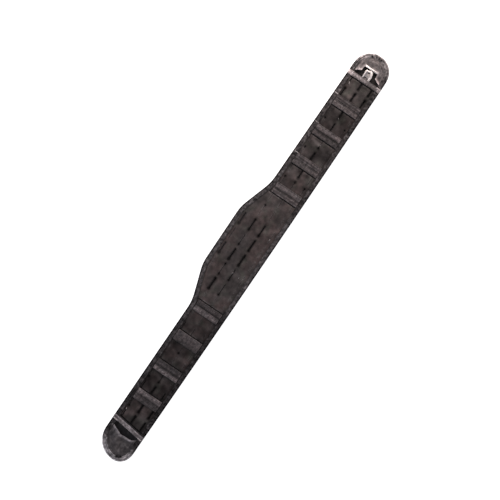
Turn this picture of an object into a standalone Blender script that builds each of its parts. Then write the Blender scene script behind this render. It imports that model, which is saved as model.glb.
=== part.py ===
"""A padded tactical belt that lies flat with its face up.

A padded back and a laser-cut face are bound together along one tape edge. Between
them runs a flat channel for an inner belt, which comes out at a pocket on each end.
The belt runs along X, its deeper lumbar part points to +Y, and it lies on Z = 0.
"""

import math

import bmesh
import bpy
from mathutils import Matrix, Vector

MM = 0.001
GAP = 0.3 * MM

# The grid of slots: a 38.1 mm pitch along the belt and 25.4 mm between rows
GRID_CENTRE_X = 8.5 * MM
PITCH = 38.1 * MM
ROW_PITCH = 25.4 * MM
MIDDLE_ROW_Y = -12.1 * MM
SLOT_LENGTH = 28.5 * MM
SLOT_WIDTH = 3.2 * MM
SLOT_COLUMNS_PER_SIDE = 12
LUMBAR_TOP_COLUMNS_PER_SIDE = 2

# The outline: the ends are half ellipses that lean a little towards -Y
CAP_START_X = 476.0 * MM
CAP_LENGTH = 44.6 * MM
CAP_LEAN = {-1: 5.0 * MM, 1: 3.0 * MM}
CAP_FULLNESS = {-1: (-35.0, 0.065), 1: (45.0, 0.065)}  # degrees up, share of the radius
LOWER_END_Y = -53.6 * MM
LOWER_MIDDLE_Y = -55.6 * MM
UPPER_CORNERS = (  # x, y, corner radius, from right to left
    (476.0 * MM, 28.8 * MM, 0.0),
    (163.5 * MM, 30.5 * MM, 90.0 * MM),
    (84.5 * MM, 55.8 * MM, 80.0 * MM),
    (-62.0 * MM, 54.8 * MM, 80.0 * MM),
    (-143.0 * MM, 27.6 * MM, 90.0 * MM),
    (-476.0 * MM, 28.0 * MM, 0.0),
)

# Sections, from the middle of the underside round the edge to the middle of the top.
# Each row is a distance in from the outline and a height.
BACK_SECTION = (
    (15.5 * MM, 0.0 * MM),
    (11.5 * MM, 1.4 * MM),
    (4.0 * MM, 3.2 * MM),
    (1.4 * MM, 4.0 * MM),
    (1.4 * MM, 7.9 * MM),
    (12.0 * MM, 9.1 * MM),
    (22.0 * MM, 9.7 * MM),
)
FACE_SECTION = (
    (22.0 * MM, 10.0 * MM),
    (12.0 * MM, 9.4 * MM),
    (1.8 * MM, 8.2 * MM),
    (1.8 * MM, 9.3 * MM),
    (12.0 * MM, 10.7 * MM),
    (22.0 * MM, 11.3 * MM),
)
POCKET_SECTION = (
    (26.0 * MM, 11.0 * MM),
    (18.0 * MM, 10.4 * MM),
    (12.0 * MM, 9.4 * MM),
    (1.8 * MM, 8.2 * MM),
    (1.8 * MM, 9.3 * MM),
    (11.0 * MM, 10.5 * MM),
    (18.0 * MM, 11.7 * MM),
    (26.0 * MM, 12.3 * MM),
)
BINDING_SECTION = (  # a closed C: the outer skin, then back along the inner one
    (11.0 * MM, 0.5 * MM),
    (4.0 * MM, 2.1 * MM),
    (0.9 * MM, 2.9 * MM),
    (0.0 * MM, 4.1 * MM),
    (0.0 * MM, 9.2 * MM),
    (0.9 * MM, 10.3 * MM),
    (11.0 * MM, 11.6 * MM),
    (11.0 * MM, 10.9 * MM),
    (1.1 * MM, 9.6 * MM),
    (1.1 * MM, 3.7 * MM),
    (4.0 * MM, 2.8 * MM),
    (11.0 * MM, 1.2 * MM),
)

# The channel between the back and the face, a stadium in plan
CHANNEL_Y = -13.4 * MM
CHANNEL_HALF_WIDTH = 27.0 * MM
CHANNEL_HALF_LENGTH = 500.0 * MM
CHANNEL_FLOOR = 4.7 * MM

# Webbing across the belt, on every second web of the grid
BAND_PLACES = (4, 6, 8, 10)
PLAIN_BAND = ("left", 2)
BAND_WIDTH = 25.4 * MM
BAND_THICKNESS = 1.5 * MM
BAND_GROOVE = 0.9 * MM
BAND_END_INSET = 11.4 * MM
SLIT_WIDTH = 2.2 * MM

# Narrow tapes across the whole belt where the pockets start
TAPE_THICKNESS = 1.3 * MM
TAPES = {  # side: X of the inner edge, width, metres of X for each metre of Y
    -1: (-436.8 * MM, 12.4 * MM, 0.130),
    1: (450.3 * MM, 10.5 * MM, 0.0),
}
TAPE_SECTION = (  # distance in from the outline, height of the underside
    (0.7 * MM, 10.6 * MM),
    (6.0 * MM, 11.4 * MM),
    (11.0 * MM, 11.9 * MM),
    (24.0 * MM, 12.1 * MM),
)

# The mouths of the end pockets, from the upper edge of the belt to the lower one
LEFT_MOUTH = (
    (-449.0 * MM, 40.0 * MM),
    (-453.0 * MM, 22.0 * MM),
    (-459.5 * MM, 10.0 * MM),
    (-470.0 * MM, -7.5 * MM),
    (-466.5 * MM, -21.0 * MM),
    (-464.0 * MM, -34.0 * MM),
    (-458.0 * MM, -42.5 * MM),
    (-458.0 * MM, -70.0 * MM),
)
RIGHT_MOUTH = (
    (464.5 * MM, 40.0 * MM),
    (465.5 * MM, 18.5 * MM),
    (472.5 * MM, 5.5 * MM),
    (484.6 * MM, 4.0 * MM),
    (485.0 * MM, -28.0 * MM),
    (472.5 * MM, -29.0 * MM),
    (463.0 * MM, -50.0 * MM),
    (463.0 * MM, -70.0 * MM),
)

# The steel hook on its webbing tab, and the bar that grips the pocket's edge
TAB_Y = -12.0 * MM
TAB_WIDTH = 20.0 * MM
TAB_THICKNESS = 1.8 * MM
TAB_PATH = (  # x, height of the underside
    (430.0 * MM, 5.0 * MM),
    (447.0 * MM, 5.0 * MM),
    (459.0 * MM, 6.4 * MM),
    (477.0 * MM, 6.4 * MM),
)
HOOK_BASE = 8.5 * MM
HOOK_WEB = 1.5 * MM
HOOK_RIM = 3.0 * MM
HOOK_WEB_OUTLINE = (
    (464.0, -5.0), (465.5, -10.0), (464.0, -16.5), (470.0, -18.5),
    (479.0, -16.0), (480.5, -12.5), (478.0, -8.5), (477.0, -5.0),
)
HOOK_NEAR_LEG = (
    (459.4, -5.9), (459.2, -3.2), (478.2, -2.6), (480.0, -4.2),
    (479.6, -8.0), (482.0, -11.0), (478.6, -11.4), (476.8, -8.4), (476.6, -5.4),
)
HOOK_FAR_LEG = (
    (477.8, -10.6), (480.6, -9.8), (482.8, -12.2), (482.6, -15.4), (480.0, -19.0),
    (470.0, -22.0), (461.4, -21.4), (459.2, -19.4), (460.6, -16.8), (471.0, -17.2),
    (477.4, -14.6),
)
HOOK_HOLE = ((474.0, -9.6), (473.0, -12.6), (475.8, -14.2), (477.4, -11.6))
BAR_X = 485.2 * MM
BAR_Y = -12.0 * MM
BAR_LENGTH = 32.0 * MM
BAR_WIDTH = 3.8 * MM
BAR_LOW = 9.65 * MM
BAR_HIGH = 13.8 * MM
BAR_GROOVE_LOW = 10.2 * MM
BAR_GROOVE_HIGH = 12.7 * MM
BAR_GROOVE_START = 484.2 * MM

MATERIALS = {  # colour, roughness, metallic
    "spacer_pad": ((0.020, 0.019, 0.020), 0.90, 0.0),
    "nylon_binding": ((0.030, 0.028, 0.029), 0.70, 0.0),
    "nylon_laminate": ((0.032, 0.028, 0.028), 0.75, 0.0),
    "nylon_webbing": ((0.062, 0.055, 0.056), 0.65, 0.0),
    "end_tape_webbing": ((0.130, 0.118, 0.120), 0.60, 0.0),
    "pocket_cloth": ((0.045, 0.042, 0.044), 0.80, 0.0),
    "tab_webbing": ((0.015, 0.014, 0.015), 0.75, 0.0),
    "bright_steel": ((0.620, 0.600, 0.580), 0.30, 1.0),
}


def clear_scene():
    for item in list(bpy.data.objects):
        bpy.data.objects.remove(item, do_unlink=True)


def material(name):
    """The material of that name, made on its first use."""
    found = bpy.data.materials.get(name)
    if found:
        return found
    colour, roughness, metallic = MATERIALS[name]
    made = bpy.data.materials.new(name)
    made.use_nodes = True
    shader = made.node_tree.nodes["Principled BSDF"]
    shader.inputs["Base Color"].default_value = (*colour, 1.0)
    shader.inputs["Roughness"].default_value = roughness
    shader.inputs["Metallic"].default_value = metallic
    return made


def add_object(name, mesh_builder, material_name=None):
    """A new object of a bmesh, with its faces turned outwards."""
    bmesh.ops.recalc_face_normals(mesh_builder, faces=mesh_builder.faces)
    if mesh_builder.calc_volume(signed=True) < 0:
        bmesh.ops.reverse_faces(mesh_builder, faces=mesh_builder.faces)
    mesh = bpy.data.meshes.new(name)
    mesh_builder.to_mesh(mesh)
    mesh_builder.free()
    item = bpy.data.objects.new(name, mesh)
    bpy.context.collection.objects.link(item)
    if material_name:
        mesh.materials.append(material(material_name))
        mesh.shade_smooth()
        mesh.set_sharp_from_angle(angle=math.radians(35.0))
    else:
        item.hide_render = True
        item.display_type = "WIRE"
    return item


def rounded_corner(before, corner, after, radius, steps=4):
    """Points of the arc that rounds a corner between two straight edges."""
    to_before = (before - corner).normalized()
    to_after = (after - corner).normalized()
    turn = math.pi - to_before.angle(to_after)
    along = radius * math.tan(turn / 2)
    middle = (to_before + to_after).normalized()
    centre = corner + middle * (radius / math.cos(turn / 2))
    first = corner + to_before * along - centre
    sweep = math.copysign(turn, to_before.cross(to_after))
    points = []
    for i in range(steps + 1):
        spoke = first.copy()
        spoke.rotate(Matrix.Rotation(-sweep * i / steps, 2))
        points.append(centre + spoke)
    return points


def cap_points(side, low_y, high_y, steps=14):
    """The inner points of one round end, anticlockwise."""
    middle, half = (low_y + high_y) / 2, (high_y - low_y) / 2
    points = []
    for i in range(1, steps):
        turn = math.radians(-90 + 180 * i / steps) * side
        height, share = CAP_FULLNESS[side]
        radius = 1 + share * max(0.0, math.cos(2 * (turn - math.radians(height))))
        out, up = radius * math.cos(turn), radius * math.sin(turn)
        x = side * (CAP_START_X + CAP_LENGTH * out)
        points.append(Vector((x, middle + half * up - CAP_LEAN[side] * out)))
    return points


def belt_outline(straight_step=60.0 * MM):
    """The belt's edge as points that run anticlockwise from the lower left."""
    points = []
    bow_steps = 15
    for i in range(bow_steps + 1):
        t = 2 * i / bow_steps - 1
        y = LOWER_MIDDLE_Y + (LOWER_END_Y - LOWER_MIDDLE_Y) * t * t
        points.append(Vector((t * CAP_START_X, y)))
    right_high = UPPER_CORNERS[0][1]
    left_high = UPPER_CORNERS[-1][1]
    points += cap_points(1, LOWER_END_Y, right_high)
    corners = [Vector(row[:2]) for row in UPPER_CORNERS]
    turns = [[corners[0]]]
    for i in range(1, len(corners) - 1):
        radius = UPPER_CORNERS[i][2]
        turns.append(rounded_corner(corners[i - 1], corners[i], corners[i + 1], radius))
    turns.append([corners[-1]])
    for arc, following in zip(turns, turns[1:]):
        points += arc
        run = following[0] - arc[-1]
        pieces = max(1, round(run.length / straight_step))
        points += [arc[-1] + run * (i / pieces) for i in range(1, pieces)]
    points.append(corners[-1])
    points += cap_points(-1, LOWER_END_Y, left_high)
    return points


def inward_offset(points, distance):
    """The outline moved in by a distance, each point along its own normal."""
    moved = []
    for i, point in enumerate(points):
        before = (point - points[i - 1]).normalized()
        after = (points[(i + 1) % len(points)] - point).normalized()
        tangent = (before + after).normalized()
        spread = max(0.5, tangent.dot(after))
        moved.append(point + Vector((-tangent.y, tangent.x)) * (distance / spread))
    return moved


def ring_solid(outline, section, closed_section):
    """A solid swept round the outline through a section's rows.

    An open section is closed by a flat face over its first and last rows.
    """
    builder = bmesh.new()
    rings = []
    for inset, height in section:
        ring = inward_offset(outline, inset)
        rings.append([builder.verts.new((p.x, p.y, height)) for p in ring])
    pairs = list(zip(rings, rings[1:]))
    if closed_section:
        pairs.append((rings[-1], rings[0]))
    else:
        builder.faces.new(rings[0])
        builder.faces.new(rings[-1])
    count = len(outline)
    for lower, upper in pairs:
        for i in range(count):
            j = (i + 1) % count
            builder.faces.new((lower[i], lower[j], upper[j], upper[i]))
    return builder


def add_prism(builder, points, low, high):
    """Adds an upright prism over a plan outline to a bmesh."""
    bottom = [builder.verts.new((x, y, low)) for x, y in points]
    top = [builder.verts.new((x, y, high)) for x, y in points]
    builder.faces.new(bottom)
    builder.faces.new(top)
    count = len(points)
    for i in range(count):
        j = (i + 1) % count
        builder.faces.new((bottom[i], bottom[j], top[j], top[i]))


def prism(points, low, high):
    builder = bmesh.new()
    add_prism(builder, points, low, high)
    return builder


def boolean(item, cutter, operation):
    """Puts a Boolean modifier on an object."""
    step = item.modifiers.new(f"{operation.lower()} {cutter.name}", "BOOLEAN")
    step.operation = operation
    step.object = cutter
    step.solver = "EXACT"


def slot_outline(middle_x, middle_y):
    """A slot's plan: a long box whose ends are blunt points."""
    half_length, half_width = SLOT_LENGTH / 2, SLOT_WIDTH / 2
    blunt = 0.8 * MM
    quarter = (
        (half_length - blunt, half_width),
        (half_length, half_width - blunt),
    )
    signs = ((1, 1), (-1, 1), (-1, -1), (1, -1))
    points = []
    for i, (sx, sy) in enumerate(signs):
        rows = quarter if i % 2 else tuple(reversed(quarter))
        points += [(middle_x + sx * x, middle_y + sy * y) for x, y in rows]
    return points


def slot_cutter():
    """Every slot of the face in one cutter."""
    builder = bmesh.new()
    for side in (-1, 1):
        for column in range(SLOT_COLUMNS_PER_SIDE):
            x = GRID_CENTRE_X + side * PITCH * (column + 0.5)
            rows = [-1, 0, 1]
            if column < LUMBAR_TOP_COLUMNS_PER_SIDE:
                rows.append(2)
            for row in rows:
                y = MIDDLE_ROW_Y + row * ROW_PITCH
                add_prism(builder, slot_outline(x, y), 5.0 * MM, 16.0 * MM)
    return add_object("slot_cutter", builder)


def web_x(side, place):
    """The middle of one web of the grid, counted out from the belt's centre."""
    return GRID_CENTRE_X + side * place * PITCH


def band_edge(side, place):
    """The edge of a band that faces the belt's centre, where a slit begins."""
    return web_x(side, place) - side * BAND_WIDTH / 2


def panel_plan(start, end, end_tilt):
    """The plan that cuts a face panel out of the whole face, its far end tilted."""
    reach = 80.0 * MM
    low, high = (end + end_tilt * (y - MIDDLE_ROW_Y) for y in (-reach, reach))
    return [(start, -reach), (low, -reach), (high, reach), (start, reach)]


def make_face_panels(outline, slots):
    """The lumbar panel, and four panels on each side of it."""
    first = {side: band_edge(side, BAND_PLACES[0]) for side in (-1, 1)}
    lumbar = panel_plan(first[-1] + SLIT_WIDTH, first[1] - SLIT_WIDTH, 0.0)
    plans = {"face_panel_lumbar": lumbar}
    for side, word in ((-1, "left"), (1, "right")):
        tape_edge, _, tilt = TAPES[side]
        stops = [band_edge(side, place) for place in BAND_PLACES]
        stops.append(tape_edge)
        tilts = [0.0] * (len(BAND_PLACES) - 1) + [tilt]
        for i, end_tilt in enumerate(tilts):
            plan = panel_plan(stops[i], stops[i + 1] - side * SLIT_WIDTH, end_tilt)
            plans[f"face_panel_{word}_{i + 1}"] = plan
    for name, plan in plans.items():
        face = ring_solid(outline, FACE_SECTION, closed_section=False)
        panel = add_object(name, face, "nylon_laminate")
        plan_cutter = add_object(f"{name}_plan", prism(plan, 4.0 * MM, 16.0 * MM))
        boolean(panel, plan_cutter, "INTERSECT")
        boolean(panel, slots, "DIFFERENCE")


def make_padded_back(outline):
    """The padded back, with the channel for the inner belt sunk into its top."""
    back = ring_solid(outline, BACK_SECTION, closed_section=False)
    item = add_object("padded_back", back, "spacer_pad")
    straight = CHANNEL_HALF_LENGTH - CHANNEL_HALF_WIDTH
    steps = 8
    plan = []
    for side in (1, -1):
        for i in range(steps + 1):
            turn = math.radians(-90 + 180 * i / steps)
            x = side * (straight + CHANNEL_HALF_WIDTH * math.cos(turn))
            y = CHANNEL_Y + side * CHANNEL_HALF_WIDTH * math.sin(turn)
            plan.append((x, y))
    channel = add_object("channel_cutter", prism(plan, CHANNEL_FLOOR, 16.0 * MM))
    boolean(item, channel, "DIFFERENCE")


def make_pocket(name, side, mouth, outline):
    """A cloth cover over one round end, cut back along its gaping mouth."""
    cover = add_object(
        name,
        ring_solid(outline, POCKET_SECTION, closed_section=False),
        "pocket_cloth",
    )
    far = side * 560.0 * MM
    plan = [(far, mouth[0][1]), *mouth, (far, mouth[-1][1])]
    cutter = add_object(f"{name}_plan", prism(plan, 4.0 * MM, 16.0 * MM))
    boolean(cover, cutter, "INTERSECT")
    return cover


def edge_at(outline, x, upper):
    """The height in Y of the outline at a place along the belt."""
    found = []
    for i, point in enumerate(outline):
        other = outline[(i + 1) % len(outline)]
        if (point.x - x) * (other.x - x) <= 0 and point.x != other.x:
            t = (x - point.x) / (other.x - point.x)
            found.append(point.y + (other.y - point.y) * t)
    return max(found) if upper else min(found)


def face_height(inset):
    """The height of the face's top at a distance in from the outline."""
    rows = [row for row in FACE_SECTION[3:]]
    for (near, low), (far, high) in zip(rows, rows[1:]):
        if inset <= far:
            return low + (high - low) * max(0.0, inset - near) / (far - near)
    return rows[-1][1]


def cross_strip(stations, profile):
    """A strip across the belt.

    stations are rows of middle x, y and height of the underside, and profile is a
    closed outline of x and z about the strip's middle.
    """
    builder = bmesh.new()
    rings = []
    for middle, y, base in stations:
        rings.append([builder.verts.new((middle + x, y, base + z)) for x, z in profile])
    builder.faces.new(rings[0])
    builder.faces.new(rings[-1])
    count = len(profile)
    for first, second in zip(rings, rings[1:]):
        for i in range(count):
            j = (i + 1) % count
            builder.faces.new((first[i], first[j], second[j], second[i]))
    return builder


def webbing_profile(width, thickness, groove):
    """A webbing's section: round edges and, where it has one, a groove in the middle."""
    half, edge = width / 2, thickness * 0.4
    points = [
        (-half, edge),
        (-half + edge, 0.0),
        (half - edge, 0.0),
        (half, edge),
        (half, thickness - edge),
        (half - edge, thickness),
    ]
    if groove:
        points += [
            (groove, thickness),
            (0.3 * groove, thickness - 0.7 * groove),
            (-0.3 * groove, thickness - 0.7 * groove),
            (-groove, thickness),
        ]
    points += [(-half + edge, thickness), (-half, thickness - edge)]
    return points


def make_bands(outline):
    """Eight webbing bands across the belt, each following the swell of the face."""
    for side, word in ((-1, "left"), (1, "right")):
        for number, place in enumerate(BAND_PLACES, 1):
            middle = web_x(side, place)
            low = max(edge_at(outline, middle + s * BAND_WIDTH / 2, False) for s in (-1, 1))
            high = min(edge_at(outline, middle + s * BAND_WIDTH / 2, True) for s in (-1, 1))
            stations = []
            for inset in (BAND_END_INSET, 16.0 * MM, 22.0 * MM):
                stations.append((middle, low + inset, face_height(inset) + GAP))
            for inset in (22.0 * MM, 16.0 * MM, BAND_END_INSET):
                stations.append((middle, high - inset, face_height(inset) + GAP))
            groove = 0.0 if (word, number) == PLAIN_BAND else BAND_GROOVE
            profile = webbing_profile(BAND_WIDTH, BAND_THICKNESS, groove)
            strip = cross_strip(stations, profile)
            add_object(f"webbing_band_{word}_{number}", strip, "nylon_webbing")


def make_end_tapes(outline):
    """A narrow tape over each end of the channel, edge to edge."""
    for side, word in ((-1, "left"), (1, "right")):
        inner, width, tilt = TAPES[side]
        middle = inner + side * width / 2
        low = edge_at(outline, middle, False)
        high = edge_at(outline, middle, True)
        stations = []
        for inset, base in TAPE_SECTION:
            stations.append((low + inset, base))
        for inset, base in reversed(TAPE_SECTION):
            stations.append((high - inset, base))
        rows = [(middle + tilt * (y - MIDDLE_ROW_Y), y, base) for y, base in stations]
        strip = cross_strip(rows, webbing_profile(width, TAPE_THICKNESS, 0.0))
        add_object(f"end_tape_{word}", strip, "end_tape_webbing")


def make_hook_tab():
    """The webbing tab that carries the hook out of the channel."""
    builder = bmesh.new()
    rings = []
    half = TAB_WIDTH / 2
    for x, base in TAB_PATH:
        corners = ((-half, 0.0), (half, 0.0), (half, TAB_THICKNESS), (-half, TAB_THICKNESS))
        rings.append([builder.verts.new((x, TAB_Y + y, base + z)) for y, z in corners])
    builder.faces.new(rings[0])
    builder.faces.new(rings[-1])
    for first, second in zip(rings, rings[1:]):
        for i in range(4):
            j = (i + 1) % 4
            builder.faces.new((first[i], first[j], second[j], second[i]))
    add_object("hook_tab", builder, "tab_webbing")


def in_metres(points):
    return [(x * MM, y * MM) for x, y in points]


def make_hook_plate():
    """A flat steel hook: a pierced web between two raised legs."""
    web_top = HOOK_BASE + HOOK_WEB
    rim_top = HOOK_BASE + HOOK_RIM
    web = prism(in_metres(HOOK_WEB_OUTLINE), HOOK_BASE, web_top)
    item = add_object("hook_plate", web, "bright_steel")
    for name, plan in (("near_leg", HOOK_NEAR_LEG), ("far_leg", HOOK_FAR_LEG)):
        leg = add_object(name, prism(in_metres(plan), HOOK_BASE - 0.05 * MM, rim_top))
        boolean(item, leg, "UNION")
    hole_low, hole_high = HOOK_BASE - 2 * MM, rim_top + 2 * MM
    hole = add_object("hook_hole", prism(in_metres(HOOK_HOLE), hole_low, hole_high))
    boolean(item, hole, "DIFFERENCE")


def box_plan(x_low, x_high, y_low, y_high):
    return [(x_low, y_low), (x_high, y_low), (x_high, y_high), (x_low, y_high)]


def make_mouth_bar():
    """A steel bar that grips the right pocket's edge in a groove along its far side."""
    plan = box_plan(
        BAR_X - BAR_WIDTH / 2,
        BAR_X + BAR_WIDTH / 2,
        BAR_Y - BAR_LENGTH / 2,
        BAR_Y + BAR_LENGTH / 2,
    )
    bar = add_object("mouth_bar", prism(plan, BAR_LOW, BAR_HIGH), "bright_steel")
    round_edges = bar.modifiers.new("round edges", "BEVEL")
    round_edges.width = 0.6 * MM
    round_edges.segments = 2
    groove_plan = box_plan(BAR_GROOVE_START, BAR_X + BAR_WIDTH, BAR_Y - 0.1, BAR_Y + 0.1)
    groove = add_object("bar_groove", prism(groove_plan, BAR_GROOVE_LOW, BAR_GROOVE_HIGH))
    boolean(bar, groove, "DIFFERENCE")


def main():
    clear_scene()
    outline = belt_outline()
    make_padded_back(outline)
    binding = ring_solid(outline, BINDING_SECTION, closed_section=True)
    add_object("edge_binding", binding, "nylon_binding")
    make_face_panels(outline, slot_cutter())
    make_pocket("end_pocket_left", -1, LEFT_MOUTH, outline)
    make_pocket("end_pocket_right", 1, RIGHT_MOUTH, outline)
    make_bands(outline)
    make_end_tapes(outline)
    make_hook_tab()
    make_hook_plate()
    make_mouth_bar()


main()
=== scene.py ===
"""The looks of a padded tactical belt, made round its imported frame.

The belt lies flat along X with its slotted face up and its deeper lumbar part towards
+Y. Every length is in metres, in the frame's own axes.
"""

import logging
import math
import random
from collections.abc import Callable
from dataclasses import dataclass, field
from enum import Enum

import bmesh
import bpy
from bmesh.types import BMEdge, BMesh, BMFace, BMVert
from mathutils import Matrix, Vector, noise
from mathutils.kdtree import KDTree


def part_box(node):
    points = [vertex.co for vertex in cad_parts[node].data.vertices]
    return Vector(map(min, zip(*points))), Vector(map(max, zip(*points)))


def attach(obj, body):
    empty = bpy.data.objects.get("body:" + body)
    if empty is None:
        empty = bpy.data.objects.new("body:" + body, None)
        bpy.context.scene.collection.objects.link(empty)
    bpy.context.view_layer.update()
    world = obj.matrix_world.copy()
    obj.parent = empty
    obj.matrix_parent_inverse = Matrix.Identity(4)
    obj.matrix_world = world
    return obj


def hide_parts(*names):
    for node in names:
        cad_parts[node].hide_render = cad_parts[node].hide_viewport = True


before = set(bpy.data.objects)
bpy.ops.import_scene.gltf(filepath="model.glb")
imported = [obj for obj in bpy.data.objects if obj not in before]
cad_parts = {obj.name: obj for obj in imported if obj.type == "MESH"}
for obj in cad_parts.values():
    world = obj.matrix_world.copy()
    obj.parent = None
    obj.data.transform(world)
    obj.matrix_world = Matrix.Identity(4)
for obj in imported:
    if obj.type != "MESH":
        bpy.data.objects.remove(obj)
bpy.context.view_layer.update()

MM = 0.001
BODY = "root"
log = logging.getLogger("belt")

Colour = tuple[float, float, float]
Point = tuple[float, float, float]
Layers = tuple[tuple[float, float, float], ...]  # strength, width of a hump, seed
Socket = bpy.types.NodeSocket
Value = float | Colour | Socket  # what an input of a shader node takes


class Side(Enum):
    """The two ends of the belt, by the sign of X."""

    LEFT = -1
    RIGHT = 1

    @property
    def word(self) -> str:
        """The side's name in the names of nodes and pieces."""
        return self.name.lower()


class Row(Enum):
    """The rows of slots, counted from the middle one."""

    LOWER = -1
    MIDDLE = 0
    UPPER = 1
    LUMBAR = 2


def smooth_noise(x: float, y: float, size: float, seed: float) -> float:
    """A smooth random value from about -1 to 1, whose humps are about a size wide."""
    return noise.noise(Vector((x / size, y / size, seed)))


def layered_noise(x: float, y: float, layers: Layers, shift: float = 0.0) -> float:
    """The sum of several fields of smooth noise, with a shift added to their seeds."""
    return sum(a * smooth_noise(x, y, size, seed + shift) for a, size, seed in layers)


def ease(value: float) -> float:
    """A smooth step from 0 to 1 as the value goes from 0 to 1."""
    t = min(1.0, max(0.0, value))
    return t * t * (3.0 - 2.0 * t)


def bump(distance: float, width: float) -> float:
    """A smooth hump that is 1 at no distance and fades over a width."""
    return math.exp(-((distance / width) ** 2))


def wave(value: float, pitch: float) -> float:
    """A wave from 0 to 1 that is 1 at no distance and at each pitch."""
    return 0.5 + 0.5 * math.cos(math.tau * value / pitch)


def rounding(across: float, width: float, edge: float) -> float:
    """How full a strip's section is: 1 inside, and down to 0 over its two edges."""
    return ease((width / 2 - abs(across)) / edge)


def distance_to_segment(point: Vector, start: Vector, end: Vector) -> float:
    """The distance from a point to a straight segment.

    Args:
        point: The point, in two dimensions.
        start: One end of the segment.
        end: The other end.

    Returns:
        The shortest distance.
    """
    run = end - start
    t = max(0.0, min(1.0, (point - start).dot(run) / max(run.length_squared, 1e-12)))
    return (start + run * t - point).length


@dataclass
class BeltPlan:
    """The belt's plan, read from the outer skin of the frame's edge binding."""

    step: float = 2.0 * MM
    skin_height: float = 4.1 * MM
    skin_tolerance: float = 0.05 * MM
    smoothing: int = 12
    ring: list[Vector] = field(init=False)
    inward: list[Vector] = field(init=False)
    length: float = field(init=False)
    tree: KDTree = field(init=False)

    def __post_init__(self) -> None:
        """Reads the outline, evens out its points and finds their normals."""
        corners = {
            (round(v.co.x, 5), round(v.co.y, 5))
            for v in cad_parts["edge_binding"].data.vertices
            if abs(v.co.z - self.skin_height) < self.skin_tolerance
        }
        ordered = sorted(corners, key=lambda c: math.atan2(c[1], c[0]))
        self.ring = self.evened([Vector(c) for c in ordered])
        count = len(self.ring)
        for _ in range(self.smoothing):
            self.ring = [
                (self.ring[i - 1] + 2 * p + self.ring[(i + 1) % count]) / 4
                for i, p in enumerate(self.ring)
            ]
        runs = [self.ring[(i + 1) % count] - self.ring[i - 1] for i in range(count)]
        self.inward = [Vector((-run.y, run.x)).normalized() for run in runs]
        self.length = self.step * count
        self.tree = tree_of([p.to_3d() for p in self.ring])

    def evened(self, corners: list[Vector]) -> list[Vector]:
        """The closed outline with its points a step apart.

        Args:
            corners: The outline's corners, anticlockwise.

        Returns:
            Points at even distances along it.
        """
        runs = list(zip(corners, [*corners[1:], corners[0]]))
        total = sum((b - a).length for a, b in runs)
        count = round(total / self.step)
        self.step = total / count
        points: list[Vector] = []
        passed = 0.0
        for start, end in runs:
            length = (end - start).length
            while len(points) < count and len(points) * self.step < passed + length:
                t = (len(points) * self.step - passed) / length
                points.append(start.lerp(end, t))
            passed += length
        return points

    def inset_ring(self, inset: float) -> list[Vector]:
        """The outline moved in by a distance."""
        return [p + n * inset for p, n in zip(self.ring, self.inward)]

    def inset(self, x: float, y: float) -> float:
        """How far a place lies in from the belt's edge.

        Args:
            x: Place along the belt.
            y: Place across the belt.

        Returns:
            The distance to the nearest stretch of the edge.
        """
        place = Vector((x, y))
        _, near, _ = self.tree.find((x, y, 0.0))
        count = len(self.ring)
        return min(
            distance_to_segment(place, self.ring[i % count], self.ring[(i + 1) % count])
            for i in (near - 1, near)
        )

    def at(self, distance: float, inset: float) -> tuple[Vector, Vector]:
        """A place along the edge.

        Args:
            distance: How far round the edge it is.
            inset: How far in from the edge it is.

        Returns:
            The place and the direction along the edge.
        """
        spot = (distance / self.step) % len(self.ring)
        i, t = int(spot), spot % 1.0
        j = (i + 1) % len(self.ring)
        place = self.ring[i].lerp(self.ring[j], t)
        normal = self.inward[i].lerp(self.inward[j], t).normalized()
        return place + normal * inset, Vector((normal.y, -normal.x))


def tree_of(points: list[Vector]) -> KDTree:
    """A search tree over points.

    Args:
        points: The points, in three dimensions.

    Returns:
        The balanced tree, whose numbers are the points' own.
    """
    tree = KDTree(len(points))
    for i, point in enumerate(points):
        tree.insert(point, i)
    tree.balance()
    return tree


@dataclass(frozen=True)
class FaceSwell:
    """The soft swell of the face over the padding, by distance in from the edge."""

    edge_inset: float = 1.8 * MM
    edge_top: float = 9.3 * MM
    flat_inset: float = 22.0 * MM
    flat_top: float = 11.3 * MM
    fullness: float = 1.7

    def top(self, inset: float) -> float:
        """The height of the face's upper side.

        Args:
            inset: The distance in from the edge.

        Returns:
            The height.
        """
        t = (inset - self.edge_inset) / (self.flat_inset - self.edge_inset)
        fall = (1 - min(1.0, max(0.0, t))) ** self.fullness
        return self.flat_top - (self.flat_top - self.edge_top) * fall


@dataclass(frozen=True)
class SlotSpot:
    """A place seen from the middle of its nearest slot."""

    dx: float
    dy: float
    out_x: float  # how far outside the slot it is, along it and across it
    out_y: float
    gape: float  # how far the slot gapes, from 0 to 1
    end_gapes: bool  # whether the slot's end on this side gapes


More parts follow.
